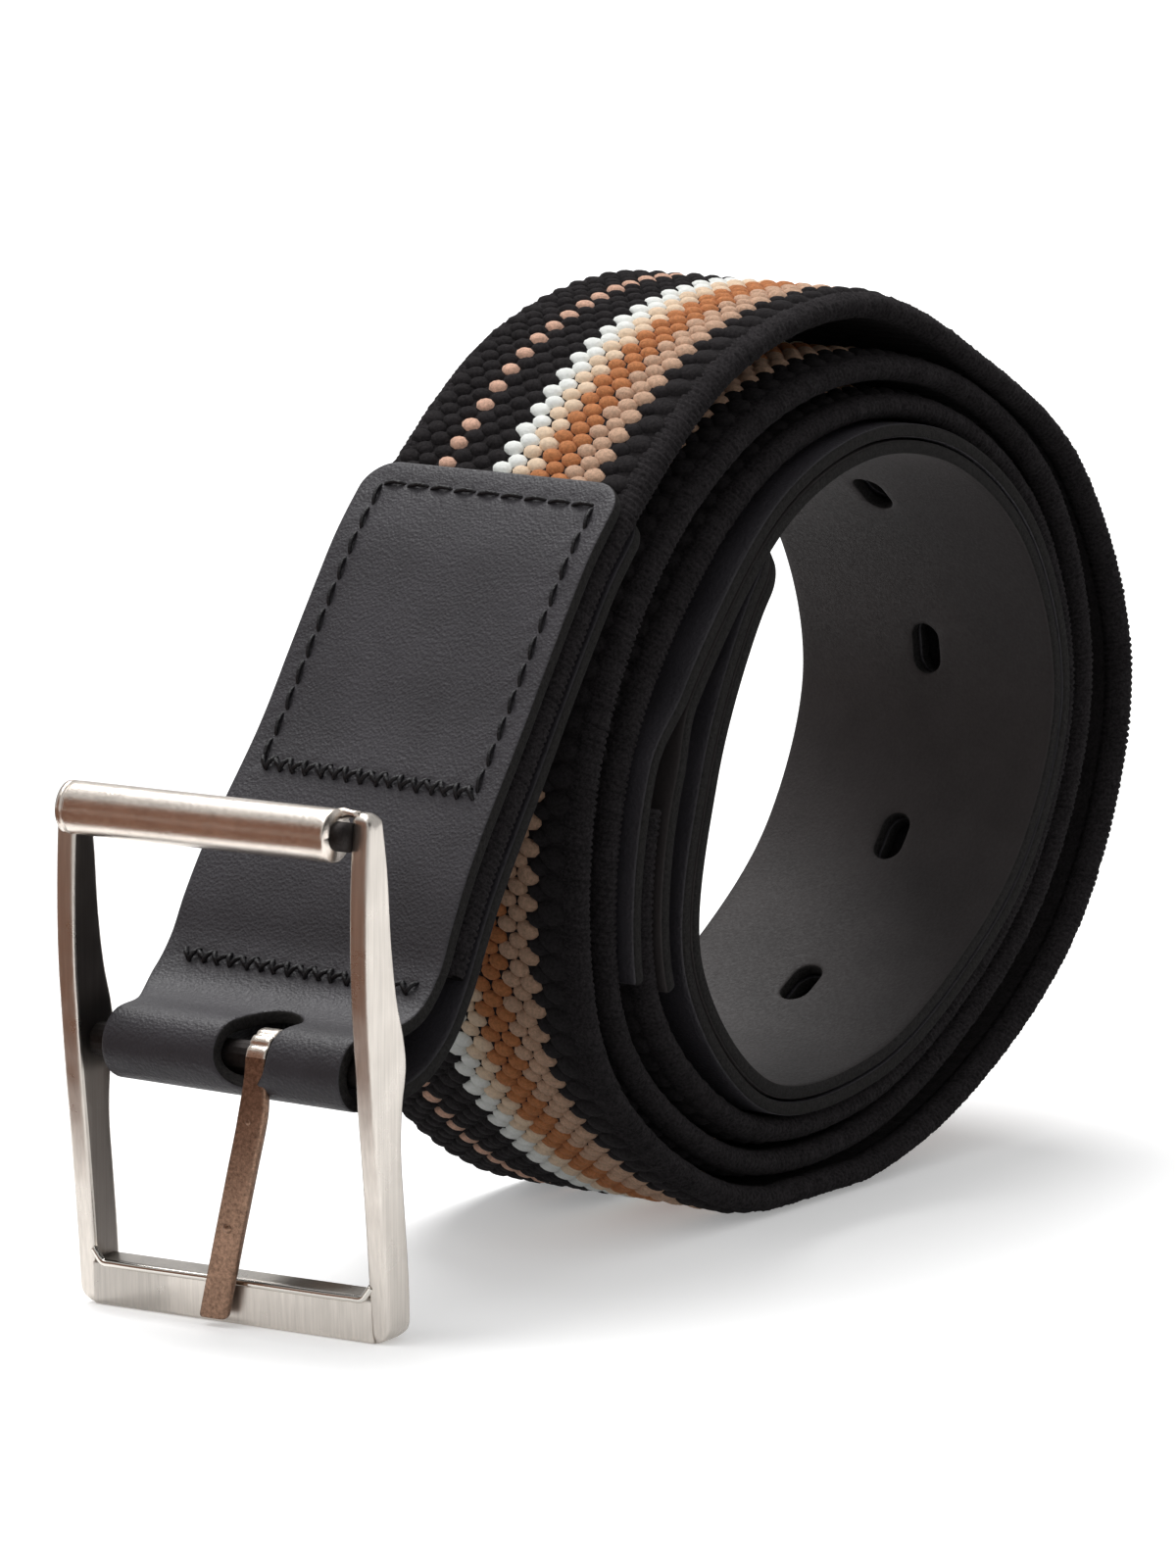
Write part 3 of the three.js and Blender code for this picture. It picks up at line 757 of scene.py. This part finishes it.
def tab_path():
    away = HALF_THICKNESS + LAYER_GAP + LEATHER / 2
    places = evenly(1, TAB_LENGTH, STATION_STEP)

    def side(sign):
        points = ROUTE.at(places) + sign * away * ROUTE.out(places)
        points[:, 0] = 0
        return points

    angles = np.radians(np.linspace(90, 270, FOLD_STATIONS))
    fold_y = BAR_Y + FOLD_REACH * np.cos(angles)
    fold_z = BAR_Z + FOLD_REACH * np.sin(angles)
    fold = np.stack([np.zeros(FOLD_STATIONS), fold_y, fold_z], -1)
    front_neck = [(0, y, z) for y, z in NECK_FRONT]
    back_neck = [(0, y, z) for y, z in NECK_BACK]
    corners = np.vstack([side(1)[::-1], front_neck, fold, back_neck, side(-1)])
    points = curve_through(corners, TAB_SAMPLES)
    return Path(points, distances(points), -1)


TAB = tab_path()
FOLD_PLACE = TAB.values[np.argmin(TAB.points[:, 1])]


def tab_widening(along):
    return smoothstep(np.abs(along - FOLD_PLACE), *NECK_WIDENS)


def tab_half_width(along):
    share = tab_widening(along)
    half = (FOLD_WIDTH * (1 - share) + 2 * HALF_WIDTH * share) / 2
    return half - corner_cut(along, TAB_CORNER) - corner_cut(TAB.length - along, TAB_CORNER)


def on_tab(along, across, out):
    along, across, out = np.broadcast_arrays(*(np.asarray(v, float) for v in (along, across, out)))
    points = TAB.at(along) + TAB.out(along) * out[..., None]
    points[..., 0] += across + FOLD_SHIFT * (1 - tab_widening(along))
    return twisted(points.reshape(-1, 3))


SLOT_SPACING = 0.5


def stadium(start, end, across, width):
    """A slot with round ends, clockwise, so that the leather is on its left."""
    half = width / 2
    angles = np.linspace(-math.pi / 2, math.pi / 2, 12)
    far = np.stack([end - half + half * np.cos(angles), across + half * np.sin(angles)], -1)
    near = np.stack([start + half - half * np.cos(angles), across - half * np.sin(angles)], -1)
    return evenly_round(np.vstack([far, near]), SLOT_SPACING)[::-1]


CUT_EDGE_SIDE = 0.9


def leather_object(name, outline, holes, place, looks, spacing=1.2):
    """A leather sheet whose cut edges have the second look."""
    flat, faces, on_edge = sheet_mesh(outline, holes, spacing, LEATHER_EDGE)
    sides = np.array([flat[list(face), 2].mean() for face in faces])
    cut_edge = on_edge & (np.abs(sides) < CUT_EDGE_SIDE)
    points = place(flat[:, 0], flat[:, 1], flat[:, 2] * LEATHER / 2)
    return mesh_object(name, points, faces, looks, flat[:, :2] * METRES, cut_edge)


# Where the tab is sewn, as (along, across) on its outer face, seen from the front
SEAM_LEFT = -14.6
SEAM_RIGHT = 14.8
SEAM_TOP = 3.2
SEAM_BOTTOM = 39.3
LOWER_SEAM = 62.8
SEAM_DENT = 0.16
SEAM_DENT_WIDTH = 0.6
SEAM_PUCKER = 0.06
SEAM_PUCKER_WIDTH = 1.6
STITCH_PITCH = 3.3


def seam_lines():
    """The tab's seams: each runs between two places and is plain or densely overstitched."""
    top_left = (SEAM_TOP, SEAM_LEFT + 0.2)
    top_right = (SEAM_TOP + 0.3, SEAM_RIGHT)
    bottom_left = (SEAM_BOTTOM - 0.3, SEAM_LEFT - 0.2)
    bottom_right = (SEAM_BOTTOM + 0.3, SEAM_RIGHT - 0.3)
    lower_left = (LOWER_SEAM - 0.2, SEAM_LEFT)
    lower_right = (LOWER_SEAM + 0.2, SEAM_RIGHT + 0.6)
    lines = [
        {"from": top_left, "to": top_right, "dense": False},
        {"from": top_right, "to": bottom_right, "dense": False},
        {"from": top_left, "to": bottom_left, "dense": False},
        {"from": bottom_left, "to": bottom_right, "dense": True},
        {"from": lower_left, "to": lower_right, "dense": True},
    ]
    back = [
        {"from": at_back(line["from"]), "to": at_back(line["to"]), "dense": line["dense"]} for line in lines
    ]
    return lines + back


def at_back(place):
    return TAB.length - place[0], place[1]


def seam_distance(along, across):
    """How far flat places on the tab are from its nearest seam."""
    nearest = np.full(np.shape(along), 1e6)
    for line in seam_lines():
        start = np.array(line["from"])
        step = np.array(line["to"]) - start
        offset = np.stack([along, across], -1) - start
        share = np.clip(offset @ step / (step @ step), 0, 1)
        nearest = np.minimum(nearest, np.linalg.norm(offset - share[..., None] * step, axis=-1))
    return nearest


def tab_surface(along, across, out):
    """The tab's leather, drawn in a little along its seams."""
    dent = SEAM_DENT * np.exp(-(seam_distance(along, across) / SEAM_DENT_WIDTH) ** 2)
    pucker = SEAM_PUCKER * np.sin(2 * math.pi * (along + across) / STITCH_PITCH)
    near = np.exp(-(seam_distance(along, across) / SEAM_PUCKER_WIDTH) ** 2)
    return on_tab(along, across, out - (dent + pucker * near) * (out > 0))


def tab_leather():
    front = TAB.values <= FOLD_PLACE
    slot_start = np.interp(-SLOT["top_end"], -TAB.points[front][:, 1], TAB.values[front])
    back = TAB.values >= FOLD_PLACE
    near_fold = slice(SLOT_SEARCH)
    slot_end = np.interp(SLOT["bottom_end"], TAB.points[back][near_fold, 1], TAB.values[back][near_fold])
    slot = stadium(slot_start, slot_end, SLOT["across"] - FOLD_SHIFT, SLOT["width"])
    outline = rounded_strip_outline(TAB.length, tab_half_width, TAB_CORNER)
    return leather_object("tab_leather", outline, [slot], tab_surface, [GRAINED, CUT_EDGE], 0.75)


STITCH_SIDES = 6
STITCH_ENDS = 0.55
STITCH_LIFT = 0.1
STITCH_STATIONS = [0.0, 0.06, 0.2, 0.5, 0.8, 0.94, 1.0]
PLAIN_STITCH = {"length": 3.15, "radius": 0.27, "rise": 0.36, "dive": 0.42}
PLAIN_SLANT = 0.12
DENSE_STITCH = {
    "length": 2.3, "radius": 0.3, "rise": 0.55, "dive": 0.4, "pitch": 0.95, "slant": 0.95, "uneven": 0.3,
}


def one_stitch(middle, direction, size):
    """A thread lying on the leather whose two ends dive into it, in flat places."""
    share = np.array(STITCH_STATIONS)
    ride = np.sin(math.pi * share) ** 0.5
    thickness = size["radius"] * (STITCH_ENDS + (1 - STITCH_ENDS) * ride)
    height = (size["rise"] + size["dive"]) * ride - size["dive"] - SEAM_DENT + STITCH_LIFT
    side = np.array([-direction[1], direction[0]])
    rings = []
    for station, radius, level in zip(share, thickness, height):
        centre = np.asarray(middle) + np.asarray(direction) * (station - 0.5) * size["length"]
        for corner in range(STITCH_SIDES):
            angle = 2 * math.pi * corner / STITCH_SIDES
            flat = centre + side * radius * math.cos(angle)
            rings.append((*flat, level + radius * math.sin(angle)))
    return rings


def seam_stitches(line):
    start = np.array(line["from"])
    step = np.array(line["to"]) - start
    length = np.linalg.norm(step)
    forward = step / length
    side = np.array([-forward[1], forward[0]])
    if not line["dense"]:
        count = round(length / STITCH_PITCH)
        places = (np.arange(count) + 0.5) / count
        lean = forward * math.cos(PLAIN_SLANT) + side * math.sin(PLAIN_SLANT)
        return [one_stitch(start + step * place, lean, PLAIN_STITCH) for place in places]
    stitches = []
    count = round(length / DENSE_STITCH["pitch"])
    for index in range(count):
        turn = DENSE_STITCH["slant"] if index % 2 else -DENSE_STITCH["slant"]
        turn *= 1 + DENSE_STITCH["uneven"] * math.sin(index * 2.3)
        lean = forward * math.cos(turn) + side * math.sin(turn)
        middle = start + step * (index + 0.5) / count
        stitches.append(one_stitch(middle, lean, DENSE_STITCH))
    return stitches


def tab_stitches():
    stitches = [stitch for line in seam_lines() for stitch in seam_stitches(line)]
    flat = np.array(stitches)
    count, size, _ = flat.shape
    flat = flat.reshape(-1, 3)
    ring = grid_faces(len(STITCH_STATIONS), STITCH_SIDES, True)
    faces = (ring[None] + np.arange(count)[:, None, None] * size).reshape(-1, 4)
    points = on_tab(flat[:, 0], flat[:, 1], flat[:, 2] + LEATHER / 2)
    return mesh_object("tab_stitches", points, faces, THREAD, flat[:, :2] * METRES)


BILLET_START = {1: 908.3, -1: 905.0}
BILLET_WIDTH = 36.2
BILLET_CLOSING = 9.0
TIP_ROUNDING = 11.0
TIP_NARROWING = 0.9
HOLES = [989.9 + 24.7 * index for index in range(5)]
HOLE_LENGTH = 6.4
HOLE_WIDTH = 3.6


def billet_half_width(distance):
    cut = corner_cut(ROUTE.length - distance, TIP_ROUNDING)
    return BILLET_WIDTH / 2 - cut * TIP_NARROWING * BILLET_WIDTH / 2 / TIP_ROUNDING


def billet_place(sign):
    apart = HALF_THICKNESS + LAYER_GAP + LEATHER / 2
    together = (LAYER_GAP + LEATHER) / 2
    start = WEBBING_END + STATION_STEP - 1

    def place(along, across, out):
        distance = np.asarray(along) + BILLET_START[sign]
        closing = smoothstep(distance, start, start + BILLET_CLOSING)
        middle = sign * (apart * (1 - closing) + together * closing)
        return on_belt(distance, across, middle + out)

    return place


def billet_leather(name, sign, looks):
    start = BILLET_START[sign]

    def half_width(along):
        return billet_half_width(along + start)

    outline = rounded_strip_outline(ROUTE.length - start, half_width, TIP_ROUNDING)
    holes = []
    for hole in HOLES:
        middle = hole - start
        holes.append(stadium(middle - HOLE_LENGTH / 2, middle + HOLE_LENGTH / 2, 0, HOLE_WIDTH))
    return leather_object(name, outline, holes, billet_place(sign), looks)


# Buckle

INSIDE_HALF = 17.7
RAIL_WIDTH = 2.3
RAIL_ROWS = [
    {"height": 27.9, "front": -3.7, "back": -0.9},
    {"height": 22.0, "front": -4.2, "back": 0.1},
    {"height": 14.0, "front": -4.4, "back": 0.8},
    {"height": 8.0, "front": -4.2, "back": 1.8},
    {"height": 3.6, "front": -3.8, "back": 3.1},
    {"height": 0.4, "front": -3.5, "back": 3.6},
    {"height": -4.2, "front": -3.0, "back": 2.8},
    {"height": -9.0, "front": -2.4, "back": 2.6},
    {"height": -16.0, "front": -1.6, "back": 3.3},
    {"height": -23.0, "front": -0.9, "back": 4.0},
    {"height": -28.6, "front": -0.45, "back": 4.2},
]
RAIL_TOP = 28.6
RAIL_BOTTOM = -29.55
RAIL_TOP_ROUND = 1.3
RAIL_BOTTOM_ROUND = 2.2
RAIL_CREST_HALF = 0.7
RAIL_FOOT = {"front": 0.6, "back": 1.0}
RAIL_SPACING = {"edge": 0.5, "face": 0.9}
FRONT_BAR = {
    "top": -24.3, "bottom": -29.55, "front": -0.75, "back": 3.9, "bevel": 0.5, "corner": 0.15, "lean": 0.2,
}
BAR_REACH = 18.0
BEAD = {"radius": 0.42, "inset": 0.15, "straight_from": 2.5}
BEAD_END = [{"across": 0.3, "up": 1.5}, {"across": -0.15, "up": 0.9}, {"across": -0.9, "up": 0.1}]
ROD_AT = {"y": -4.4, "z": 26.2}
ROD_TURNING = [
    (-17.9, 2.9), (-17.3, 2.9), (-17.22, 2.72), (-17.1, 2.72), (-17.02, 2.88), (-16.8, 2.9), (15.0, 2.9),
    (15.9, 2.93), (16.2, 2.88), (16.35, 2.75), (16.3, 2.5), (15.9, 2.3),
]
ROD_NECK = {"from": 15.2, "to": 18.0, "radius": 1.6}
SEAM_STRIP = {
    "y": -2.9, "z": 28.45, "radius": 0.42, "from": -17.5, "to": 18.3, "knob": 16.3, "knob_radius": 0.63,
}


def on_buckle(points):
    """Places points measured from the bar, turned with the buckle."""
    points = np.asarray(points, float)
    x, y, z = points[:, 0], points[:, 1], points[:, 2]
    turned = np.stack([
        x * math.cos(BUCKLE_YAW) - y * math.sin(BUCKLE_YAW),
        x * math.sin(BUCKLE_YAW) + y * math.cos(BUCKLE_YAW), z
    ], -1)
    return turned + np.array([0, BAR_Y, BAR_Z])


def rail_outline():
    """The rail from the side, as (y, z) counter-clockwise."""
    front = [(row["front"], row["height"]) for row in RAIL_ROWS]
    back = [(row["back"], row["height"]) for row in reversed(RAIL_ROWS)]
    crest = (RAIL_ROWS[0]["front"] + RAIL_ROWS[0]["back"]) / 2
    foot = [(front[-1][0] + RAIL_FOOT["front"], RAIL_BOTTOM), (back[0][0] - RAIL_FOOT["back"], RAIL_BOTTOM)]
    top = [(crest + RAIL_CREST_HALF, RAIL_TOP), (crest - RAIL_CREST_HALF, RAIL_TOP)]
    corners = np.vstack([curve_through(front, 6), foot, curve_through(back, 6), top])
    return evenly_round(corners, RAIL_SPACING["edge"])


def rail(name, sign):
    """A rail whose inner face has a dark copy of the nickel: painted shade."""
    flat, faces, _ = sheet_mesh(rail_outline(), [], RAIL_SPACING["face"], RAIL_EDGE)
    height = flat[:, 1]
    taken = corner_cut(RAIL_TOP - height, RAIL_TOP_ROUND)
    taken = taken + corner_cut(height - RAIL_BOTTOM, RAIL_BOTTOM_ROUND)
    share = (flat[:, 2] * sign + 1) / 2
    x = sign * (INSIDE_HALF + share * (RAIL_WIDTH - taken))
    # Painted shade: faces on the inner side get the dark copy of the nickel
    inner = [bool(np.all(flat[list(face), 2] == -sign)) for face in faces]
    points = on_buckle(np.stack([x, flat[:, 0], height], -1))
    return mesh_object(name, points, faces, [NICKEL, INNER_NICKEL_PAINTED_SHADE], None, inner)


def front_bar():
    top, bottom, front, back = (FRONT_BAR[key] for key in ("top", "bottom", "front", "back"))
    bevel, lean = FRONT_BAR["bevel"], FRONT_BAR["lean"]
    foot = front + lean
    corner = FRONT_BAR["corner"]
    corners = np.array([
        (front, top - bevel), (front + lean * 0.5, (top + bottom) / 2), (foot, bottom + bevel),
        (foot + corner, bottom + corner), (foot + bevel, bottom), (back - bevel, bottom),
        (back, bottom + bevel), (back, top - bevel), (back - bevel, top), (front + bevel, top),
        (front + corner, top - corner),
    ])
    outline = evenly_round(corners, 0.35)
    flat, faces, _ = sheet_mesh(outline, [], 0.8, [(0.02, 1.0), (0.02, -1.0)])
    points = np.stack([flat[:, 2] * BAR_REACH, flat[:, 0], flat[:, 1]], -1)
    return mesh_object("buckle_front_bar", on_buckle(points), faces, NICKEL)


def tube(name, centres, radii, look, sides, reference=(0, 1, 0)):
    """A round bar along a line of centres, which never runs in the reference direction."""
    centres = np.asarray(centres, float)
    steps = np.gradient(centres, axis=0)
    steps /= np.linalg.norm(steps, axis=1, keepdims=True)
    upright = np.cross(steps, reference)
    upright /= np.linalg.norm(upright, axis=1, keepdims=True)
    sideways = np.cross(steps, upright)
    angles = 2 * math.pi * np.arange(sides) / sides
    radii = np.broadcast_to(radii, len(centres))[:, None, None]
    cosines, sines = (turn[None, :, None] for turn in (np.cos(angles), np.sin(angles)))
    ring = cosines * upright[:, None] + sines * sideways[:, None]
    points = (centres[:, None] + radii * ring).reshape(-1, 3)
    return mesh_object(name, on_buckle(points), capped_faces(len(centres), sides), look)


def bead():
    """The thin polished line along the front bar, turned up at both ends."""
    y = FRONT_BAR["front"] + BEAD["inset"]
    z = FRONT_BAR["top"] - BEAD["radius"]
    straight = INSIDE_HALF - BEAD["straight_from"]
    ends = [(INSIDE_HALF + row["across"], y, z + row["up"]) for row in BEAD_END]
    left = [(-x, y, z) for x, y, z in ends]
    line = [*left, (-straight, y, z), (0, y, z), (straight, y, z), *ends[::-1]]
    return tube("buckle_bead", curve_through(line, 8), BEAD["radius"], POLISHED, 12)


def rear_rod():
    """The turned rod between the rails' upper ends."""
    centres = [(x, ROD_AT["y"], ROD_AT["z"]) for x, _ in ROD_TURNING]
    radii = [radius for _, radius in ROD_TURNING]
    return tube("buckle_rod", centres, radii, ROD_METAL, 48)


def rod_neck():
    places = (ROD_NECK["from"], (ROD_NECK["from"] + ROD_NECK["to"]) / 2, ROD_NECK["to"])
    centres = [(x, ROD_AT["y"], ROD_AT["z"]) for x in places]
    # Painted shade: the neck in the gap between the rod and the rail is coloured near black
    return tube("buckle_rod_neck", centres, ROD_NECK["radius"], BAR_METAL_PAINTED_SHADE, 24)


def rod_seam():
    """The raised line along the rod, with its small knob."""
    places = evenly(SEAM_STRIP["from"], SEAM_STRIP["to"], 1.0)
    radii = np.full(len(places), SEAM_STRIP["radius"])
    radii[np.argmin(np.abs(places - SEAM_STRIP["knob"]))] = SEAM_STRIP["knob_radius"]
    centres = [(x, SEAM_STRIP["y"], SEAM_STRIP["z"]) for x in places]
    return tube("buckle_rod_seam", centres, radii, ROD_METAL, 10)


# Prong

PRONG_THICKNESS = 1.2
PRONG_WIDTH = 3.4
PRONG_CURL_WIDTH = 2.6
PRONG_CURL_INSIDE = 2.25
PRONG_WIDENS_OVER = 6
PRONG_AT_BAR = 5.05
PRONG_ROWS = [
    {"y": -3.05, "z": -5.0, "x": 4.7},
    {"y": -3.0, "z": -12.0, "x": 3.1},
    {"y": -2.6, "z": -20.0, "x": 1.0},
    {"y": -2.1, "z": -28.6, "x": -1.25},
]
# The blade's cross-section in shares of its half width and half thickness, as (across, out)
PRONG_SECTION = [
    (0.0, 1.0), (0.45, 1.0), (0.8, 0.97), (0.93, 0.8), (1.0, 0.5), (1.0, -0.5), (0.95, -0.85),
    (0.85, -1.0), (0.0, -1.0), (-0.85, -1.0), (-0.95, -0.85), (-1.0, -0.5), (-1.0, 0.6),
    (-0.96, 0.9), (-0.88, 1.0), (-0.45, 1.0),
]
PRONG_GROOVES = [
    {"turn": 112, "depth": 0.2, "width": 0.28},
    {"turn": 140, "depth": 0.22, "width": 0.28},
]
PRONG_TIP_ROUND = 0.55
PRONG_TIP_SHARES = np.array([0.8, 0.6, 0.4, 0.25, 0.12, 0.04, 0.0])
PRONG_TIP_CUT = {"across": 0.7, "out": 0.35}
PRONG_STEP = 0.15
PRONG_CURL = {"from": -80, "to": 180, "step": 10}
PRONG_BRIGHT_SHARE = 0.94
PIP_RISE = 0.5
PIP_END_RADIUS = 0.001
PRONG_PIPS = [
    {"z": -18.25, "aside": -0.15, "radius": 0.55},
    {"z": -6.2, "aside": -0.1, "radius": 0.35},
]


def prong_path():
    radius = PRONG_CURL_INSIDE + PRONG_THICKNESS / 2
    angles = np.radians(np.arange(PRONG_CURL["from"], PRONG_CURL["to"] + 1, PRONG_CURL["step"]))
    across = np.full(len(angles), PRONG_AT_BAR)
    curl = np.stack([across, radius * np.cos(angles), radius * np.sin(angles)], -1)
    blade = [(row["x"], row["y"], row["z"]) for row in PRONG_ROWS]
    points = curve_through(np.vstack([curl, blade]), 10)
    return Path(points, distances(points), -1), radius * (angles[-1] - angles[0])


def prong_blade():
    path, curl_length = prong_path()
    straight = evenly(0, path.length - PRONG_TIP_ROUND, PRONG_STEP)
    places = np.concatenate([straight, path.length - PRONG_TIP_ROUND * PRONG_TIP_SHARES])
    widening = smoothstep(places, curl_length, curl_length + PRONG_WIDENS_OVER)
    cut = corner_cut(path.length - places, PRONG_TIP_ROUND)
    half = (PRONG_CURL_WIDTH * (1 - widening) + PRONG_WIDTH * widening) / 2
    half = half - cut * PRONG_TIP_CUT["across"]
    thick = PRONG_THICKNESS / 2 - cut * PRONG_TIP_CUT["out"]
    along, across, out = swept_places(places, PRONG_SECTION)
    corners = len(PRONG_SECTION)
    across = across * half.repeat(corners)
    out = out * thick.repeat(corners)
    out = out - prong_grooves(places, curl_length).repeat(corners) * (out > 0)
    points = path.at(along) + path.out(along) * out[:, None]
    points[:, 0] += across
    faces = capped_faces(len(places), corners)
    # The blade gets the painted brown reflection; the curl keeps the plain nickel of the rod
    on_curl = np.zeros(len(faces), bool)
    on_curl[:np.searchsorted(places, curl_length * PRONG_BRIGHT_SHARE) * corners] = True
    return mesh_object("prong_blade", on_buckle(points), faces, [PRONG_PAINTED_REFLECTION, ROD_METAL], None, on_curl)


def prong_grooves(places, curl_length):
    """How deep the curl's grooves are at each place."""
    per_degree = curl_length / (PRONG_CURL["to"] - PRONG_CURL["from"])
    depth = np.zeros(len(places))
    for row in PRONG_GROOVES:
        middle = (row["turn"] - PRONG_CURL["from"]) * per_degree
        depth += row["depth"] * np.exp(-((places - middle) / row["width"]) ** 2)
    return depth


def prong_pip(row):
    """A small raised pip on the prong's face."""
    blade = np.array([(place["z"], place["x"], place["y"]) for place in reversed(PRONG_ROWS)])
    x, y = (np.interp(row["z"], blade[:, 0], blade[:, column]) for column in (1, 2))
    angles = np.radians(np.arange(-90, 91, 15))
    reach = row["radius"]
    face = y - PRONG_THICKNESS / 2
    rise = PIP_RISE * reach
    centres = [(x + row["aside"], face + rise * math.sin(angle), row["z"]) for angle in angles]
    radii = reach * np.cos(angles) + PIP_END_RADIUS
    # The pip has the prong's painted brown reflection too
    return tube(f"prong_pip_{-row['z']:.0f}", centres, radii, PRONG_PAINTED_REFLECTION, 14, (1, 0, 0))


# The whole


def dress(piece, body, node):
    """Puts the piece on the body that carries it and hides the solid that it stands for."""
    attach(piece, body)
    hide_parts(node)


def webbing_pieces():
    core = webbing_core()
    yarns = [yarn_knots(name, look) for name, look in YARNS.items()]
    edges = [selvage("selvage_near", 1), selvage("selvage_far", -1)]
    for piece in (core, *yarns, *edges, inner_ribs()):
        dress(piece, "belt", "webbing")


def leather_pieces():
    dress(tab_leather(), "belt", "buckle_tab")
    dress(tab_stitches(), "belt", "buckle_tab")
    face = billet_leather("billet_face_leather", 1, [GRAINED, CUT_EDGE])
    lining = billet_leather("billet_lining_leather", -1, [SMOOTH, CUT_EDGE])
    dress(face, "belt", "billet_face")
    dress(lining, "belt", "billet_lining")


def metal_pieces():
    rails = [rail("buckle_rail_right", 1), rail("buckle_rail_left", -1)]
    for piece in (*rails, front_bar(), bead(), rear_rod(), rod_neck(), rod_seam()):
        dress(piece, "buckle", "buckle_frame")
    for piece in (prong_blade(), *(prong_pip(row) for row in PRONG_PIPS)):
        dress(piece, "prong", "prong")
    # Painted shade: the bar inside the tab's fold gets the near black nickel
    bar = frame["nodes"]["buckle_bar"].data
    bar.materials.clear()
    bar.materials.append(BAR_METAL_PAINTED_SHADE)


CAMERA_PLACE = (0.57885, -0.80389, 0.22358)
CAMERA_LOOKING = (-0.57886, 0.79673, -0.17365)
CAMERA_LENS = 203.4


def camera():
    data = bpy.data.cameras.new("camera")
    data.lens = CAMERA_LENS
    data.sensor_width = 36
    data.clip_end = 20
    obj = in_scene("camera", data)
    obj.location = CAMERA_PLACE
    obj.rotation_euler = Vector(CAMERA_LOOKING).to_track_quat("-Z", "Y").to_euler()
    bpy.context.scene.camera = obj


def area_light(name, place, target, size, power):
    data = bpy.data.lights.new(name, "AREA")
    data.shape = "RECTANGLE"
    data.size, data.size_y = size
    data.energy = power
    obj = in_scene(name, data)
    obj.location = place
    obj.rotation_euler = (Vector(target) - Vector(place)).to_track_quat("-Z", "Y").to_euler()
    return obj


def studio():
    sun("key", (-0.34, 0.32, 0.88), 2.1, 34)
    area_light("overhead", (-0.25, -0.35, 1.3), (-0.02, -0.06, 0.04), (0.9, 0.5), 4)
    fill = area_light("fill", (-0.7, -1.0, 0.7), (0, 0, 0.04), (0.9, 0.6), 3)
    fill.visible_glossy = False
    bpy.context.scene.world = studio_world()
    bpy.context.scene.view_settings.view_transform = "Standard"


WORLD_ABOVE = 0.56
WORLD_BELOW = 0.2


def studio_world():
    """White all round, and dimmer from below than from above."""
    world = bpy.data.worlds.new("studio")
    world.use_nodes = True
    tree = world.node_tree
    places = tree.nodes.new("ShaderNodeTexCoord")
    split = tree.nodes.new("ShaderNodeSeparateXYZ")
    levels = tree.nodes.new("ShaderNodeMapRange")
    levels.inputs["From Min"].default_value = -0.3
    levels.inputs["From Max"].default_value = 0.1
    levels.inputs["To Min"].default_value = WORLD_BELOW
    levels.inputs["To Max"].default_value = WORLD_ABOVE
    tree.links.new(places.outputs["Generated"], split.inputs["Vector"])
    tree.links.new(split.outputs["Z"], levels.inputs["Value"])
    sky = tree.nodes["Background"]
    sky.inputs["Color"].default_value = (1, 1, 1, 1)
    tree.links.new(levels.outputs["Result"], sky.inputs["Strength"])
    return world


def sun(name, toward, strength, degrees):
    """A wide soft light from far away; toward points at it."""
    data = bpy.data.lights.new(name, "SUN")
    data.energy = strength
    data.angle = math.radians(degrees)
    obj = in_scene(name, data)
    obj.rotation_euler = Vector(toward).to_track_quat("Z", "Y").to_euler()


def stage_sheet(name, corners, look):
    mesh = bpy.data.meshes.new(name)
    mesh.from_pydata(corners, [], [(0, 1, 2, 3)])
    mesh.materials.append(look)
    obj = in_scene(name, mesh)
    return obj


def glowing(look, color, strength):
    shader = look.node_tree.nodes["Principled BSDF"]
    shader.inputs["Emission Color"].default_value = (*color, 1)
    shader.inputs["Emission Strength"].default_value = strength
    return look


FLOOR_HALF = 6.0
FLOOR_GLOW = 0.26


def floor():
    """A plain pale floor, which glows a little so that it stays white."""
    half = FLOOR_HALF
    corners = [(-half, -half, 0), (half, -half, 0), (half, half, 0), (-half, half, 0)]
    look = glowing(new_look("floor", (0.9, 0.9, 0.9), 0.9), (1, 1, 1), FLOOR_GLOW)
    sheet = stage_sheet("floor", corners, look)
    sheet.visible_diffuse = False


CARD_SHADES = {"brown": (0.225, 0.12, 0.082), "dark": (0.02, 0.016, 0.015)}
CARDS = [
    {"name": "brown_front", "shade": "brown",
     "corners": [(-1.6, -0.9, 0.02), (0.25, -1.35, 0.02), (0.25, -1.35, 1.1), (-1.6, -0.9, 1.1)]},
    {"name": "brown_low", "shade": "brown",
     "corners": [(-0.55, 0.05, 0.004), (0.35, -0.22, 0.004), (0.35, -1.3, 0.004), (-1.6, -0.85, 0.004)]},
    {"name": "dark_side", "shade": "dark",
     "corners": [(0.75, -0.55, 0.02), (1.1, 0.9, 0.02), (1.1, 0.9, 0.9), (0.75, -0.55, 0.9)]},
]


def mirrored_cards():
    """Sheets beside the belt that only show as reflections in the metal."""
    looks = {}
    for shade, color in CARD_SHADES.items():
        looks[shade] = glowing(new_look(f"card_{shade}", (0, 0, 0), 1.0, specular=0.0), color, 1.0)
    for row in CARDS:
        card = stage_sheet(row["name"], row["corners"], looks[row["shade"]])
        card.visible_camera = False
        card.visible_diffuse = False
        card.visible_shadow = False
        card.visible_transmission = False


camera()
studio()
floor()
mirrored_cards()
webbing_pieces()
leather_pieces()
metal_pieces()

bpy.context.view_layer.update()
